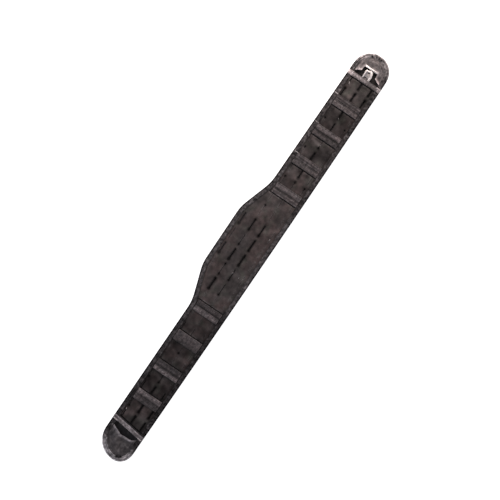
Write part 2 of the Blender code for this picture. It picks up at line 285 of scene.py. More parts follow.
@dataclass(frozen=True)
class SlotGrid:
    """The grid of slots in the face, and how far each slot gapes.

    In the gape rows each digit is one slot, from -X to +X: 0 is drawn shut and 6 or more
    is open.
    In the end rows each letter says which end gapes: l at -X, r at +X, b both, n none.
    """

    centre_x: float = 8.5 * MM
    pitch: float = 38.1 * MM
    row_pitch: float = 25.4 * MM
    middle_row_y: float = -12.1 * MM
    length: float = 28.5 * MM
    width: float = 3.2 * MM
    first_column: int = -12
    lumbar_columns: tuple[int, ...] = (-2, -1, 0, 1)
    open_digit: int = 6
    gapes: tuple[str, ...] = (
        "684111100010" + "011122111198",
        "997311211349" + "951125625799",
        "424110310929" + "251111111154",
        "..........15" + "25..........",
    )
    open_ends: tuple[str, ...] = (
        "lblnlnnnnnnn" + "nnnrbrnrrrrb",
        "rllllllnnlll" + "llnnrlnlnrbb",
        "lllllnlnnbbl" + "lbrnrrrrrrrr",
        "..........nl" + "nl..........",
    )

    def row_y(self, row: Row) -> float:
        """The middle line of a row of slots."""
        return self.middle_row_y + row.value * self.row_pitch

    def web_x(self, side: Side, place: int) -> float:
        """The middle of a web of the grid, counted out from the belt's centre."""
        return self.centre_x + side.value * place * self.pitch

    def slot_x(self, column: int) -> float:
        """The middle of a column of slots."""
        return self.centre_x + (column + 0.5) * self.pitch

    def nearest(self, x: float, y: float) -> SlotSpot:
        """The slot nearest to a place.

        Args:
            x: Place along the belt.
            y: Place across the belt.

        Returns:
            The place, seen from that slot.
        """
        column = math.floor((x - self.centre_x) / self.pitch)
        column = max(self.first_column, min(-self.first_column - 1, column))
        steps = round((y - self.middle_row_y) / self.row_pitch)
        top = Row.LUMBAR if column in self.lumbar_columns else Row.UPPER
        row = Row(max(Row.LOWER.value, min(top.value, steps)))
        dx, dy = x - self.slot_x(column), y - self.row_y(row)
        digit = int(self.gapes[row.value + 1][column - self.first_column])
        letter = self.open_ends[row.value + 1][column - self.first_column]
        return SlotSpot(
            dx=dx,
            dy=dy,
            out_x=max(0.0, abs(dx) - self.length / 2),
            out_y=max(0.0, abs(dy) - self.width / 2),
            gape=min(1.0, digit / self.open_digit),
            end_gapes=letter in ("lb" if dx < 0 else "rb"),
        )


plan = BeltPlan()
swell = FaceSwell()
grid = SlotGrid()


def add_to_scene(name: str, data: bpy.types.ID) -> bpy.types.Object:
    """A new object in the scene.

    Args:
        name: Its name.
        data: The mesh, light or camera that it holds.

    Returns:
        The object.
    """
    made = bpy.data.objects.new(name, data)
    bpy.context.scene.collection.objects.link(made)
    return made


def new_piece(name: str, builder: BMesh, sharp_angle: float = 40.0) -> bpy.types.Object:
    """Turns a bmesh into a smooth-shaded object at the origin.

    Args:
        name: The piece's name.
        builder: The bmesh, which is freed.
        sharp_angle: Edges bent by more than this many degrees stay sharp.

    Returns:
        The new object.
    """
    mesh = bpy.data.meshes.new(name)
    builder.to_mesh(mesh)
    builder.free()
    piece = add_to_scene(name, mesh)
    mesh.shade_smooth()
    mesh.set_sharp_from_angle(angle=math.radians(sharp_angle))
    return piece


def merged_copy(node: str) -> BMesh:
    """A bmesh of a CAD node with its loose triangles joined into flat faces.

    Args:
        node: The node's name.

    Returns:
        The new bmesh.
    """
    builder = bmesh.new()
    builder.from_mesh(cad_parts[node].data)
    bmesh.ops.remove_doubles(builder, verts=builder.verts, dist=0.01 * MM)
    bmesh.ops.dissolve_limit(
        builder,
        angle_limit=math.radians(0.5),
        verts=builder.verts,
        edges=builder.edges,
    )
    return builder


def cut_by_planes(
    builder: BMesh, faces: list[BMFace], axis: Vector, places: list[float]
) -> None:
    """Cuts faces by planes, the middle one first and then each half by its own.

    Args:
        builder: The mesh that holds the faces.
        faces: The faces to cut.
        axis: The planes' normal.
        places: Where along the axis the planes stand, in order.
    """
    if not places or not faces:
        return
    middle = len(places) // 2
    edges = {e for f in faces for e in f.edges}
    verts = {v for f in faces for v in f.verts}
    made = bmesh.ops.bisect_plane(
        builder,
        geom=[*faces, *edges, *verts],
        dist=0.002 * MM,
        plane_co=axis * places[middle],
        plane_no=axis,
    )["geom"]
    halves: tuple[list[BMFace], list[BMFace]] = ([], [])
    for face in made:
        if isinstance(face, BMFace):
            beyond = face.calc_center_median().dot(axis) > places[middle]
            halves[beyond].append(face)
    cut_by_planes(builder, halves[0], axis, places[:middle])
    cut_by_planes(builder, halves[1], axis, places[middle + 1 :])


def cut_into_grid(builder: BMesh, xs: list[float], ys: list[float]) -> None:
    """Cuts a mesh by upright planes, so that it can bend at them.

    Args:
        builder: The mesh to cut.
        xs: Where planes across the belt stand.
        ys: Where planes along the belt stand.
    """
    cut_by_planes(builder, builder.faces[:], Vector((1, 0, 0)), sorted(xs))
    cut_by_planes(builder, builder.faces[:], Vector((0, 1, 0)), sorted(ys))
    bmesh.ops.triangulate(builder, faces=[f for f in builder.faces if len(f.verts) > 4])


def even_cuts(low: float, high: float, step: float) -> list[float]:
    """Evenly spaced places between two limits, without the limits."""
    count = max(1, round((high - low) / step))
    return [low + (high - low) * i / count for i in range(1, count)]


def gridded_copy(node: str, step: float) -> BMesh:
    """A bmesh of a CAD node, cut into squares so that it can bend.

    Args:
        node: The node's name.
        step: The squares' size.

    Returns:
        The new bmesh.
    """
    builder, (low, high) = merged_copy(node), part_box(node)
    cut_into_grid(builder, even_cuts(low.x, high.x, step), even_cuts(low.y, high.y, step))
    return builder


def swept_rings(rings: list[list[Vector]], metres: list[float], across: list[float]) -> BMesh:
    """A closed tube of tape, extruded ring by ring, with a UV map in metres.

    Args:
        rings: The places of each ring, every ring with the same count.
        metres: The distance round the belt at each place of a ring, and at its close.
        across: The distance across the tape at each ring, and back at the first.

    Returns:
        The closed mesh.
    """
    builder = bmesh.new()
    spot = builder.verts.layers.int.new("spot")
    line = builder.verts.layers.int.new("line")
    first = [builder.verts.new(place) for place in rings[0]]
    for i, vert in enumerate(first):
        vert[spot] = i
    edges = [builder.edges.new((first[i - 1], vert)) for i, vert in enumerate(first)]
    for number, ring in enumerate([*rings[1:], rings[0]], 1):
        made = bmesh.ops.extrude_edge_only(builder, edges=edges)["geom"]
        fresh = {g for g in made if isinstance(g, BMVert)}
        edges = [
            g for g in made if isinstance(g, BMEdge) and all(v in fresh for v in g.verts)
        ]
        for vert in fresh:
            vert.co = ring[vert[spot]]
            vert[line] = number
    uv = builder.loops.layers.uv.new("UVMap")
    count = len(first)
    for face in builder.faces:
        wraps = {0, count - 1} <= {v[spot] for v in face.verts}
        for loop in face.loops:
            i = loop.vert[spot]
            u = metres[count] if wraps and i == 0 else metres[i]
            loop[uv].uv = (u, across[loop.vert[line]])
    bmesh.ops.remove_doubles(builder, verts=builder.verts, dist=0.001 * MM)
    bmesh.ops.recalc_face_normals(builder, faces=builder.faces)
    return builder


def woven_slab(
    columns: int,
    rows: int,
    place: Callable[[float, float, float], Vector],
    size: tuple[float, float],
    tone: Callable[[float, float], float],
) -> BMesh:
    """A closed strip made from a grid, with a UV map in metres.

    Args:
        columns: Faces across the strip.
        rows: Faces along the strip.
        place: Gives the place for a share across, a share along and a side, 0 or 1.
        size: The strip's width and length, for the UV map.
        tone: Gives the brightness of the yarn for the same two shares.

    Returns:
        The closed mesh.
    """
    builder = bmesh.new()
    bmesh.ops.create_grid(builder, x_segments=columns, y_segments=rows, size=0.5)
    made = bmesh.ops.extrude_face_region(builder, geom=builder.faces[:])["geom"]
    lifted = [g for g in made if isinstance(g, BMVert)]
    bmesh.ops.translate(builder, verts=lifted, vec=(0.0, 0.0, 1.0))
    uv = builder.loops.layers.uv.new("UVMap")
    tones = builder.verts.layers.float.new("tone")
    for face in builder.faces:
        for loop in face.loops:
            co = loop.vert.co
            loop[uv].uv = ((co.x + 0.5) * size[0], (co.y + 0.5) * size[1])
    for vert in builder.verts:
        u, v, w = vert.co.x + 0.5, vert.co.y + 0.5, vert.co.z
        vert[tones] = tone(u, v)
        vert.co = place(u, v, w)
    bmesh.ops.recalc_face_normals(builder, faces=builder.faces)
    if builder.calc_volume(signed=True) < 0:
        bmesh.ops.reverse_faces(builder, faces=builder.faces)
    return builder


class ShaderTree:
    """Adds nodes to a tree, sets their inputs and joins them."""

    def __init__(self, tree: bpy.types.NodeTree) -> None:
        """Starts on the node tree of a material or a group."""
        self.tree = tree

    def give(self, node: bpy.types.Node, inputs: dict) -> None:
        """Gives values or sockets to the inputs of a node.

        Args:
            node: The node.
            inputs: Values, colours or sockets, by the input's name or number.
        """
        for key, value in inputs.items():
            target = node.inputs[key]
            if isinstance(value, Socket):
                self.tree.links.new(value, target)
            else:
                target.default_value = (*value, 1.0) if target.type == "RGBA" else value

    def add(self, kind: str, inputs: dict | None = None, **settings: object) -> bpy.types.Node:
        """Adds a node.

        Args:
            kind: The node's type without its ShaderNode prefix.
            inputs: Values or sockets for its inputs, by name or number.
            **settings: Properties of the node.

        Returns:
            The new node.
        """
        node = self.tree.nodes.new(f"ShaderNode{kind}")
        for name, value in settings.items():
            setattr(node, name, value)
        self.give(node, inputs or {})
        return node

    def math(self, operation: str, *values: Value) -> Socket:
        """The result of a Math node over values or sockets."""
        return self.add("Math", dict(enumerate(values)), operation=operation).outputs[0]

    def mix(self, factor: Value, first: Value, second: Value, blend: str = "MIX") -> Socket:
        """The result of mixing a second colour into a first one by a factor."""
        inputs = {0: factor, 6: first, 7: second}
        return self.add("Mix", inputs, data_type="RGBA", blend_type=blend).outputs[2]

    def grey(self, level: Value) -> Socket:
        """A grey colour of a level."""
        return self.add("CombineColor", {0: level, 1: level, 2: level}).outputs[0]

    def noise(self, vector: Value, scale: Value, detail: float = 3.0) -> Socket:
        """The grey value of a noise pattern."""
        inputs = {"Vector": vector, "Scale": scale, "Detail": detail}
        return self.add("TexNoise", inputs).outputs[0]

    def remap(
        self, value: Value, low: Value, high: Value, start: float = 0.0, end: float = 1.0
    ) -> Socket:
        """A value stretched from one range to another and kept inside it."""
        inputs = {0: value, 1: low, 2: high, 3: start, 4: end}
        return self.add("MapRange", inputs).outputs[0]


class EffectGroup:
    """A shader node group that several finishes share, made on its first use."""

    name: str = ""
    sockets: tuple[tuple[str, str, str], ...] = ()

    @classmethod
    def tree(cls) -> bpy.types.NodeTree:
        """The group's node tree, with its sockets and nodes.

        Returns:
            The tree.
        """
        made = bpy.data.node_groups.get(cls.name)
        if made is None:
            made = bpy.data.node_groups.new(cls.name, "ShaderNodeTree")
            for label, way, kind in cls.sockets:
                made.interface.new_socket(label, in_out=way, socket_type=f"NodeSocket{kind}")
            entry = made.nodes.new("NodeGroupInput")
            shader = ShaderTree(made)
            result = cls.wire(shader, dict(entry.outputs.items()))
            shader.give(made.nodes.new("NodeGroupOutput"), {0: result})
        return made

    @classmethod
    def wire(cls, shader: ShaderTree, given: dict[str, Socket]) -> Socket:
        """Fills the group with nodes.

        Args:
            shader: The group's tree.
            given: The sockets of the group's inputs.

        Returns:
            The socket of the group's result.
        """
        raise NotImplementedError

    @classmethod
    def place(cls, shader: ShaderTree, inputs: dict) -> Socket:
        """Puts the group into a material with its own values and gives its result."""
        return shader.add("Group", inputs, node_tree=cls.tree()).outputs[0]


class Mottle(EffectGroup):
    """Soft patches of three close colours, as faded and dusty nylon has."""

    name = "faded patches"
    sockets = (
        ("Vector", "INPUT", "Vector"),
        ("Patch Scale", "INPUT", "Float"),
        ("Main", "INPUT", "Color"),
        ("Warm", "INPUT", "Color"),
        ("Pale", "INPUT", "Color"),
        ("Colour", "OUTPUT", "Color"),
    )

    @classmethod
    def wire(cls, shader: ShaderTree, given: dict[str, Socket]) -> Socket:
        """Two fields of patches, one warm and one pale, over the main colour.

        Args:
            shader: The group's tree.
            given: The sockets of the group's inputs.

        Returns:
            The patched colour.
        """
        broad = shader.noise(given["Vector"], given["Patch Scale"], 4.0)
        finer = shader.math("MULTIPLY", given["Patch Scale"], 2.7)
        inputs = {0: given["Vector"], 1: (0.31, 0.17, 0.05)}
        shifted = shader.add("VectorMath", inputs, operation="ADD").outputs[0]
        pale = shader.noise(shifted, finer, 5.0)
        warmed = shader.mix(shader.remap(broad, 0.42, 0.62), given["Main"], given["Warm"])
        return shader.mix(shader.remap(pale, 0.50, 0.74), warmed, given["Pale"])


class Weave(EffectGroup):
    """A plain weave over two coordinates."""

    name = "plain weave"
    sockets = (
        ("Vector", "INPUT", "Vector"),
        ("Warp Pitch", "INPUT", "Float"),
        ("Weft Pitch", "INPUT", "Float"),
        ("Height", "OUTPUT", "Float"),
    )

    @classmethod
    def wire(cls, shader: ShaderTree, given: dict[str, Socket]) -> Socket:
        """Rounded threads that cross over and under.

        Args:
            shader: The group's tree.
            given: The sockets of the group's inputs.

        Returns:
            The threads' height.
        """
        parts = shader.add("SeparateXYZ", {0: given["Vector"]})
        waves = []
        for number, pitch in enumerate(("Warp Pitch", "Weft Pitch")):
            turns = shader.math("DIVIDE", parts.outputs[number], given[pitch])
            waves.append(shader.math("SINE", shader.math("MULTIPLY", turns, math.pi)))
        return shader.math("MULTIPLY_ADD", shader.math("MULTIPLY", *waves), 0.5, 0.5)


class Lint(EffectGroup):
    """Small pale specks of dust and fluff."""

    name = "dust specks"
    sockets = (
        ("Vector", "INPUT", "Vector"),
        ("Speck Scale", "INPUT", "Float"),
        ("Share", "INPUT", "Float"),
        ("Mask", "OUTPUT", "Float"),
    )

    @classmethod
    def wire(cls, shader: ShaderTree, given: dict[str, Socket]) -> Socket:
        """The peaks of a fine noise, thinned by a coarse one.

        Args:
            shader: The group's tree.
            given: The sockets of the group's inputs.

        Returns:
            The specks' mask.
        """
        fine = shader.noise(given["Vector"], given["Speck Scale"], 2.0)
        coarse_scale = shader.math("MULTIPLY", given["Speck Scale"], 0.11)
        coarse = shader.noise(given["Vector"], coarse_scale, 3.0)
        limit = shader.math("SUBTRACT", 0.78, given["Share"])
        specks = shader.remap(fine, limit, shader.math("ADD", limit, 0.10))
        return shader.math("MULTIPLY", specks, shader.remap(coarse, 0.40, 0.66))


@dataclass(frozen=True)
class Finish:
    """A surface finish, made into a material on its first use."""

    name: str

    def material(self) -> bpy.types.Material:
        """The finish as a material.

        Returns:
            The material.
        """
        made = bpy.data.materials.get(self.name)
        if made is None:
            made = bpy.data.materials.new(self.name)
            made.use_nodes = True
            shader = ShaderTree(made.node_tree)
            surface = made.node_tree.nodes["Principled BSDF"]
            shader.give(surface, self.plain())
            shader.give(surface, self.wire(shader))
        return made

    def plain(self) -> dict:
        """The values of the surface that are the same all over it."""
        raise NotImplementedError

    def wire(self, shader: ShaderTree) -> dict:
        """Fills the material with nodes.

        Args:
            shader: The material's tree.

        Returns:
            The sockets for the inputs of the surface.
        """
        raise NotImplementedError


class Pattern(Enum):
    """How a cloth's threads lie."""

    WOVEN = "woven"
    RIBBED = "ribbed"
    SPACER = "spacer"


@dataclass(frozen=True)
class ClothFinish(Finish):
    """A nylon cloth, tape or webbing."""

    main: Colour
    warm: Colour
    pale: Colour
    pattern: Pattern
    pitch: float
    relief: float
    roughness: float
    roughness_spread: float = 0.08
    sheen: float = 0.10
    sheen_roughness: float = 0.45
    shine: float = 0.22
    mottle: float = 0.25
    mottle_scale: float = 150.0
    patch_scale: float = 18.0
    speck_scale: float = 420.0
    speck_share: float = 0.06
    speck_strength: float = 0.6
    speck_colour: Colour = (0.22, 0.20, 0.19)
    edge_strength: float = 0.7
    edge_colour: Colour = (0.10, 0.09, 0.09)
    fuzz_scale: float = 900.0
    fuzz_height: float = 0.35
    follows_surface: bool = False
    has_edges: bool = False
    has_tones: bool = False
    shine_follows_tone: bool = False

    def plain(self) -> dict:
        """The shine and the sheen, also where they then follow the tone."""
        return {
            "Specular IOR Level": self.shine,
            "Sheen Weight": self.sheen,
            "Sheen Roughness": self.sheen_roughness,
        }

    def wire(self, shader: ShaderTree) -> dict:
        """Threads, specks, worn edges and tones, over patches of colour.

        Args:
            shader: The material's tree.

        Returns:
            The sockets for the inputs of the surface.
        """
        coordinates = shader.add("TexCoord")
        place = coordinates.outputs["Object"]
        threads = coordinates.outputs["UV"] if self.follows_surface else place
        height = self.thread_height(shader, threads)
        colour = self.thread_colour(shader, place, height)
        inputs = {"Vector": place, "Speck Scale": self.speck_scale, "Share": self.speck_share}
        specks = shader.math("MULTIPLY", Lint.place(shader, inputs), self.speck_strength)
        colour = shader.mix(specks, colour, self.speck_colour)
        if self.has_edges:
            worn = shader.add("Attribute", attribute_name="cut").outputs["Fac"]
            rough = shader.remap(shader.noise(place, 260.0), 0.35, 0.65)
            mask = shader.math("MULTIPLY", shader.math("MULTIPLY", worn, rough), self.edge_strength)
            colour = shader.mix(mask, colour, self.edge_colour)
        shine = {}
        if self.has_tones:
            tone = shader.add("Attribute", attribute_name="tone").outputs["Fac"]
            colour = shader.mix(1.0, colour, shader.grey(tone), "MULTIPLY")
            if self.shine_follows_tone:
                shine["Specular IOR Level"] = shader.math("MULTIPLY", tone, self.shine)
                shine["Sheen Weight"] = shader.math("MULTIPLY", tone, self.sheen)
        low, high = self.roughness - self.roughness_spread, self.roughness + self.roughness_spread
        fuzz = shader.noise(place, self.fuzz_scale, 2.0)
        height = shader.math("MULTIPLY_ADD", fuzz, self.fuzz_height, height)
        relief = {"Strength": 0.7, "Distance": self.relief, "Height": height}
        return {
            "Base Color": colour,
            "Roughness": shader.remap(shader.noise(place, 90.0), 0.3, 0.7, low, high),
            "Normal": shader.add("Bump", relief).outputs[0],
            **shine,
        }

    def thread_height(self, shader: ShaderTree, threads: Socket) -> Socket:
        """The height of the threads.

        Args:
            shader: The material's tree.
            threads: The coordinates that the threads follow.

        Returns:
            The height's socket.
        """
        if self.pattern is Pattern.SPACER:
            cells = shader.add("TexVoronoi", {"Vector": threads, "Scale": 1 / self.pitch})
            return shader.remap(cells.outputs["Distance"], 0.0, 0.55)
        weft = self.pitch if self.pattern is Pattern.WOVEN else self.pitch * 0.45
        inputs = {"Vector": threads, "Warp Pitch": self.pitch, "Weft Pitch": weft}
        height = Weave.place(shader, inputs)
        if self.pattern is Pattern.WOVEN:
            return height
        parts = shader.add("SeparateXYZ", {0: threads})
        turns = shader.math("MULTIPLY", parts.outputs[0], math.tau / self.pitch)
        rib = shader.math("MULTIPLY_ADD", shader.math("SINE", turns), 0.5, 0.5)
        return shader.math("MULTIPLY_ADD", rib, 1.6, height)

    def thread_colour(self, shader: ShaderTree, place: Socket, height: Socket) -> Socket:
        """The colour of the threads: patches, fading, and shade between the threads.

        Args:
            shader: The material's tree.
            place: The Object coordinates.
            height: The height of the threads.

        Returns:
            The colour's socket.
        """
        inputs = {"Vector": place, "Patch Scale": self.patch_scale}
        colours = {"Main": self.main, "Warm": self.warm, "Pale": self.pale}
        patches = Mottle.place(shader, inputs | colours)
        spots = shader.noise(place, self.mottle_scale, 4.0)
        faded = shader.remap(spots, 0.32, 0.68, 1 - self.mottle, 1 + self.mottle)
        shade = shader.math("MULTIPLY", faded, shader.remap(height, 0.0, 1.0, 0.62, 1.12))
        return shader.mix(1.0, patches, shader.grey(shade), "MULTIPLY")


@dataclass(frozen=True)
class SteelFinish(Finish):
    """Bright plated steel with fine scratches, dull in its stains and its recess."""

    colour: Colour
    dull: Colour
    roughness: float
    roughness_spread: float = 0.18
    scratch_scale: Point = (900.0, 4000.0, 900.0)
    recess_low: float = 10.2 * MM
    recess_high: float = 10.9 * MM

    def plain(self) -> dict:
        """Metal all over."""
        return {"Metallic": 1.0}

    def wire(self, shader: ShaderTree) -> dict:
        """Scratches, stains and a dull recess.

        Args:
            shader: The material's tree.

        Returns:
            The sockets for the inputs of the surface.
        """
        place = shader.add("TexCoord").outputs["Object"]
        stretched = shader.add("Mapping", {"Vector": place, "Scale": self.scratch_scale})
        scratches = shader.noise(stretched.outputs[0], 1.0, 4.0)
        stains = shader.remap(shader.noise(place, 320.0, 4.0), 0.45, 0.70, 0.0, 0.5)
        depth = shader.add("SeparateXYZ", {0: place}).outputs[2]
        recess = shader.remap(depth, self.recess_low, self.recess_high, 1.0, 0.0)
        dulled = shader.math("MAXIMUM", stains, recess)
        high = self.roughness + self.roughness_spread
        relief = {"Strength": 0.25, "Distance": 0.05 * MM, "Height": scratches}
        return {
            "Base Color": shader.mix(dulled, self.colour, self.dull),
            "Roughness": shader.remap(scratches, 0.3, 0.7, self.roughness, high),
            "Normal": shader.add("Bump", relief).outputs[0],
        }


LAMINATE = ClothFinish(
    name="matt nylon laminate",
    main=(0.036, 0.030, 0.029),
    warm=(0.050, 0.036, 0.034),
    pale=(0.046, 0.045, 0.038),
    pattern=Pattern.WOVEN,
    pitch=0.55 * MM,
    relief=0.10 * MM,
    roughness=0.74,
    mottle=0.34,
    mottle_scale=100.0,
    has_edges=True,
    has_tones=True,
    shine_follows_tone=True,
)
BINDING = ClothFinish(
    name="ribbed edge tape",
    main=(0.034, 0.031, 0.032),
    warm=(0.045, 0.039, 0.040),
    pale=(0.078, 0.070, 0.070),
    pattern=Pattern.RIBBED,
    pitch=1.3 * MM,
    relief=0.22 * MM,
    roughness=0.66,
    mottle=0.80,
    mottle_scale=170.0,
    patch_scale=42.0,
    speck_share=0.10,
    follows_surface=True,
    has_tones=True,
    shine_follows_tone=True,
)
WEBBING = ClothFinish(
    name="ribbed webbing",
    main=(0.070, 0.061, 0.062),
    warm=(0.092, 0.076, 0.076),
    pale=(0.115, 0.102, 0.102),
    pattern=Pattern.RIBBED,
    pitch=1.5 * MM,
    relief=0.25 * MM,
    roughness=0.60,
    mottle=0.55,
    mottle_scale=200.0,
    patch_scale=60.0,
    speck_share=0.09,
    follows_surface=True,
    has_tones=True,
)
END_TAPE = ClothFinish(
    name="pale end tape",
    main=(0.165, 0.148, 0.152),
    warm=(0.190, 0.165, 0.165),
    pale=(0.240, 0.220, 0.222),
    pattern=Pattern.RIBBED,
    pitch=1.2 * MM,
    relief=0.20 * MM,
    roughness=0.55,
    patch_scale=70.0,
    follows_surface=True,
    has_tones=True,
)
POCKET_CLOTH = ClothFinish(
    name="pocket cloth",
    main=(0.058, 0.053, 0.055),
    warm=(0.078, 0.068, 0.068),
    pale=(0.110, 0.099, 0.098),
    pattern=Pattern.WOVEN,
    pitch=0.7 * MM,
    relief=0.14 * MM,
    roughness=0.72,
    mottle=0.35,
    mottle_scale=170.0,
    patch_scale=36.0,
    speck_share=0.09,
    has_edges=True,
    has_tones=True,
)
SPACER = ClothFinish(
    name="spacer mesh",
    main=(0.016, 0.015, 0.016),
    warm=(0.020, 0.018, 0.018),
    pale=(0.026, 0.024, 0.024),
    pattern=Pattern.SPACER,
    pitch=2.6 * MM,
    relief=0.5 * MM,
    roughness=0.9,
    speck_share=0.02,
)
TAB_WEBBING = ClothFinish(
    name="black tab webbing",
    main=(0.018, 0.017, 0.018),
    warm=(0.022, 0.020, 0.020),
    pale=(0.032, 0.029, 0.030),
    pattern=Pattern.RIBBED,
    pitch=1.4 * MM,
    relief=0.2 * MM,
    roughness=0.7,
    follows_surface=True,
    has_tones=True,
)
THREAD = ClothFinish(
    name="grey thread",
    main=(0.085, 0.078, 0.078),
    warm=(0.100, 0.088, 0.086),
    pale=(0.150, 0.138, 0.136),
    pattern=Pattern.WOVEN,
    pitch=0.25 * MM,
    relief=0.05 * MM,
    roughness=0.55,
    patch_scale=50.0,
)
PALE_THREAD = ClothFinish(
    name="pale thread",
    main=(0.62, 0.57, 0.56),
    warm=(0.52, 0.46, 0.45),
    pale=(0.75, 0.71, 0.70),
    pattern=Pattern.WOVEN,
    pitch=0.25 * MM,
    relief=0.05 * MM,
    roughness=0.5,
    patch_scale=90.0,
)
STEEL = SteelFinish(
    name="bright steel",
    colour=(0.95, 0.90, 0.88),
    dull=(0.42, 0.39, 0.38),
    roughness=0.30,
)


def place_piece(
    piece: bpy.types.Object, finish: Finish, nodes: tuple[str, ...] = ()
) -> None:
    """Dresses a piece and ties it to the frame.

    Args:
        piece: The new piece.
        finish: Its finish.
        nodes: The CAD nodes that the piece stands for.
    """
    piece.data.materials.append(finish.material())
    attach(piece, BODY)
    if nodes:
        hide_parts(*nodes)
    log.info("%s: %d faces", piece.name, len(piece.data.polygons))


@dataclass
class StitchRun:
    """Short raised stitches, gathered into one mesh."""

    thread: float = 0.45 * MM
    height: float = 0.30 * MM
    bar_thread: float = 0.75 * MM
    bar_pitch: float = 0.62 * MM
    bar_lean: float = 0.25
    builder: BMesh = field(default_factory=bmesh.new)
    pattern: bpy.types.Mesh = field(init=False)

    def __post_init__(self) -> None:
        """Makes the round shape that every stitch is scaled from."""
        ball = bmesh.new()
        bmesh.ops.create_uvsphere(ball, u_segments=8, v_segments=5, radius=1.0)
        self.pattern = bpy.data.meshes.new("stitch pattern")
        ball.to_mesh(self.pattern)
        ball.free()

    def add(self, place: Vector, along: Vector, length: float, width: float = 0.0) -> None:
        """Adds one stitch.

        Args:
            place: The stitch's middle, on the surface.
            along: The direction it runs in, level.
            length: Its length.
            width: Its thickness, or 0 for the thread's own.
        """
        run = along.normalized().to_3d()
        across = Vector((-run.y, run.x, 0.0))
        turn = Matrix((run, across, Vector((0, 0, 1)))).transposed().to_4x4()
        sizes = (length / 2, (width or self.thread) / 2, self.height)
        matrix = Matrix.Translation(place) @ turn @ Matrix.Diagonal((*sizes, 1.0))
        self.pattern.transform(matrix)
        self.builder.from_mesh(self.pattern, face_normals=False, vertex_normals=False)
        self.pattern.transform(matrix.inverted())

    def row(
        self,
        ends: tuple[Vector, Vector],
        height: Callable[[float, float], float],
        pitch: float,
        length: float,
    ) -> None:
        """Adds a straight row of stitches.

        Args:
            ends: The row's two ends, in plan.
            height: Gives the height of the surface at a place.
            pitch: The distance between stitches.
            length: The length of each one.
        """
        start, run = ends[0], ends[1] - ends[0]
        count = max(1, int(run.length / pitch))
        for i in range(count):
            spot = start + run * ((i + 0.5) / count)
            self.add(Vector((*spot, height(*spot))), run, length)

    def bartack(self, ends: tuple[Vector, Vector], height: float, width: float) -> None:
        """Adds a dense bar of stitches that lie across its own line.

        Args:
            ends: The bar's two ends, in plan.
            height: The height of the surface.
            width: The bar's width.
        """
        start, run = ends[0], ends[1] - ends[0]
        count = max(3, round(run.length / self.bar_pitch))
        across = Vector((-run.y, run.x))
        for i in range(count):
            spot = start + run * (i / (count - 1))
            lean = run * (self.bar_lean * width / run.length) * (1 if i % 2 else -1)
            self.add(Vector((*spot, height)), across + lean, width, self.bar_thread)

    def finish(self, name: str, finish: Finish, slot: str) -> None:
        """Makes the run a piece with a name and a finish."""
        bpy.data.meshes.remove(self.pattern)
        place_piece(new_piece(name, self.builder), finish)


@dataclass(frozen=True)
class Streak:
    """A soft straight streak in plan: a fold's ridge or dent, or a lighter patch.

    Its places and its width are in millimetres. A fold's strength is a height in
    millimetres, and a patch's is an exponent of brightness.
    """

    start_x: float
    start_y: float
    end_x: float
    end_y: float
    strength: float
    width: float

    def at(self, place: Vector) -> float:
        """How strong the streak is at a place.

        Args:
            place: The place, in plan.

        Returns:
            The strength, less with the distance from the streak.
        """
        start = Vector((self.start_x, self.start_y)) * MM
        end = Vector((self.end_x, self.end_y)) * MM
        return self.strength * bump(distance_to_segment(place, start, end), self.width * MM)


def streaked(x: float, y: float, streaks: tuple[Streak, ...]) -> float:
    """The sum of several streaks at a place."""
    return sum(streak.at(Vector((x, y))) for streak in streaks)


EDGE_STREAKS = (  # painted highlights and shade of the folds beside the mouths, and paler and darker places at the two ends
    Streak(-511.0, -25.0, -510.5, -28.0, -2.4, 2.0),
    Streak(-508.0, -32.0, -505.5, -35.0, -2.0, 2.6),
    Streak(509.5, 3.5, 509.5, 1.5, -2.4, 2.0),
    Streak(513.0, -5.0, 513.5, -19.0, -0.9, 2.0),
    Streak(460.6, -42.0, 459.6, -54.0, -2.2, 2.0),
    Streak(467.0, -40.0, 462.8, -54.0, 1.1, 1.7),
    Streak(467.5, 20.0, 471.0, 19.5, 0.9, 2.4),
    Streak(-502.0, -43.0, -492.0, -44.0, 0.5, 4.5),
    Streak(-482.0, -45.0, -478.0, -44.0, 0.6, 3.0),
    Streak(-455.5, 20.5, -457.0, 19.0, 1.0, 2.0),
    Streak(-511.5, 1.0, -512.0, -12.0, 0.5, 1.6),
    Streak(472.0, -47.5, 498.0, -45.0, -0.5, 4.0),
)
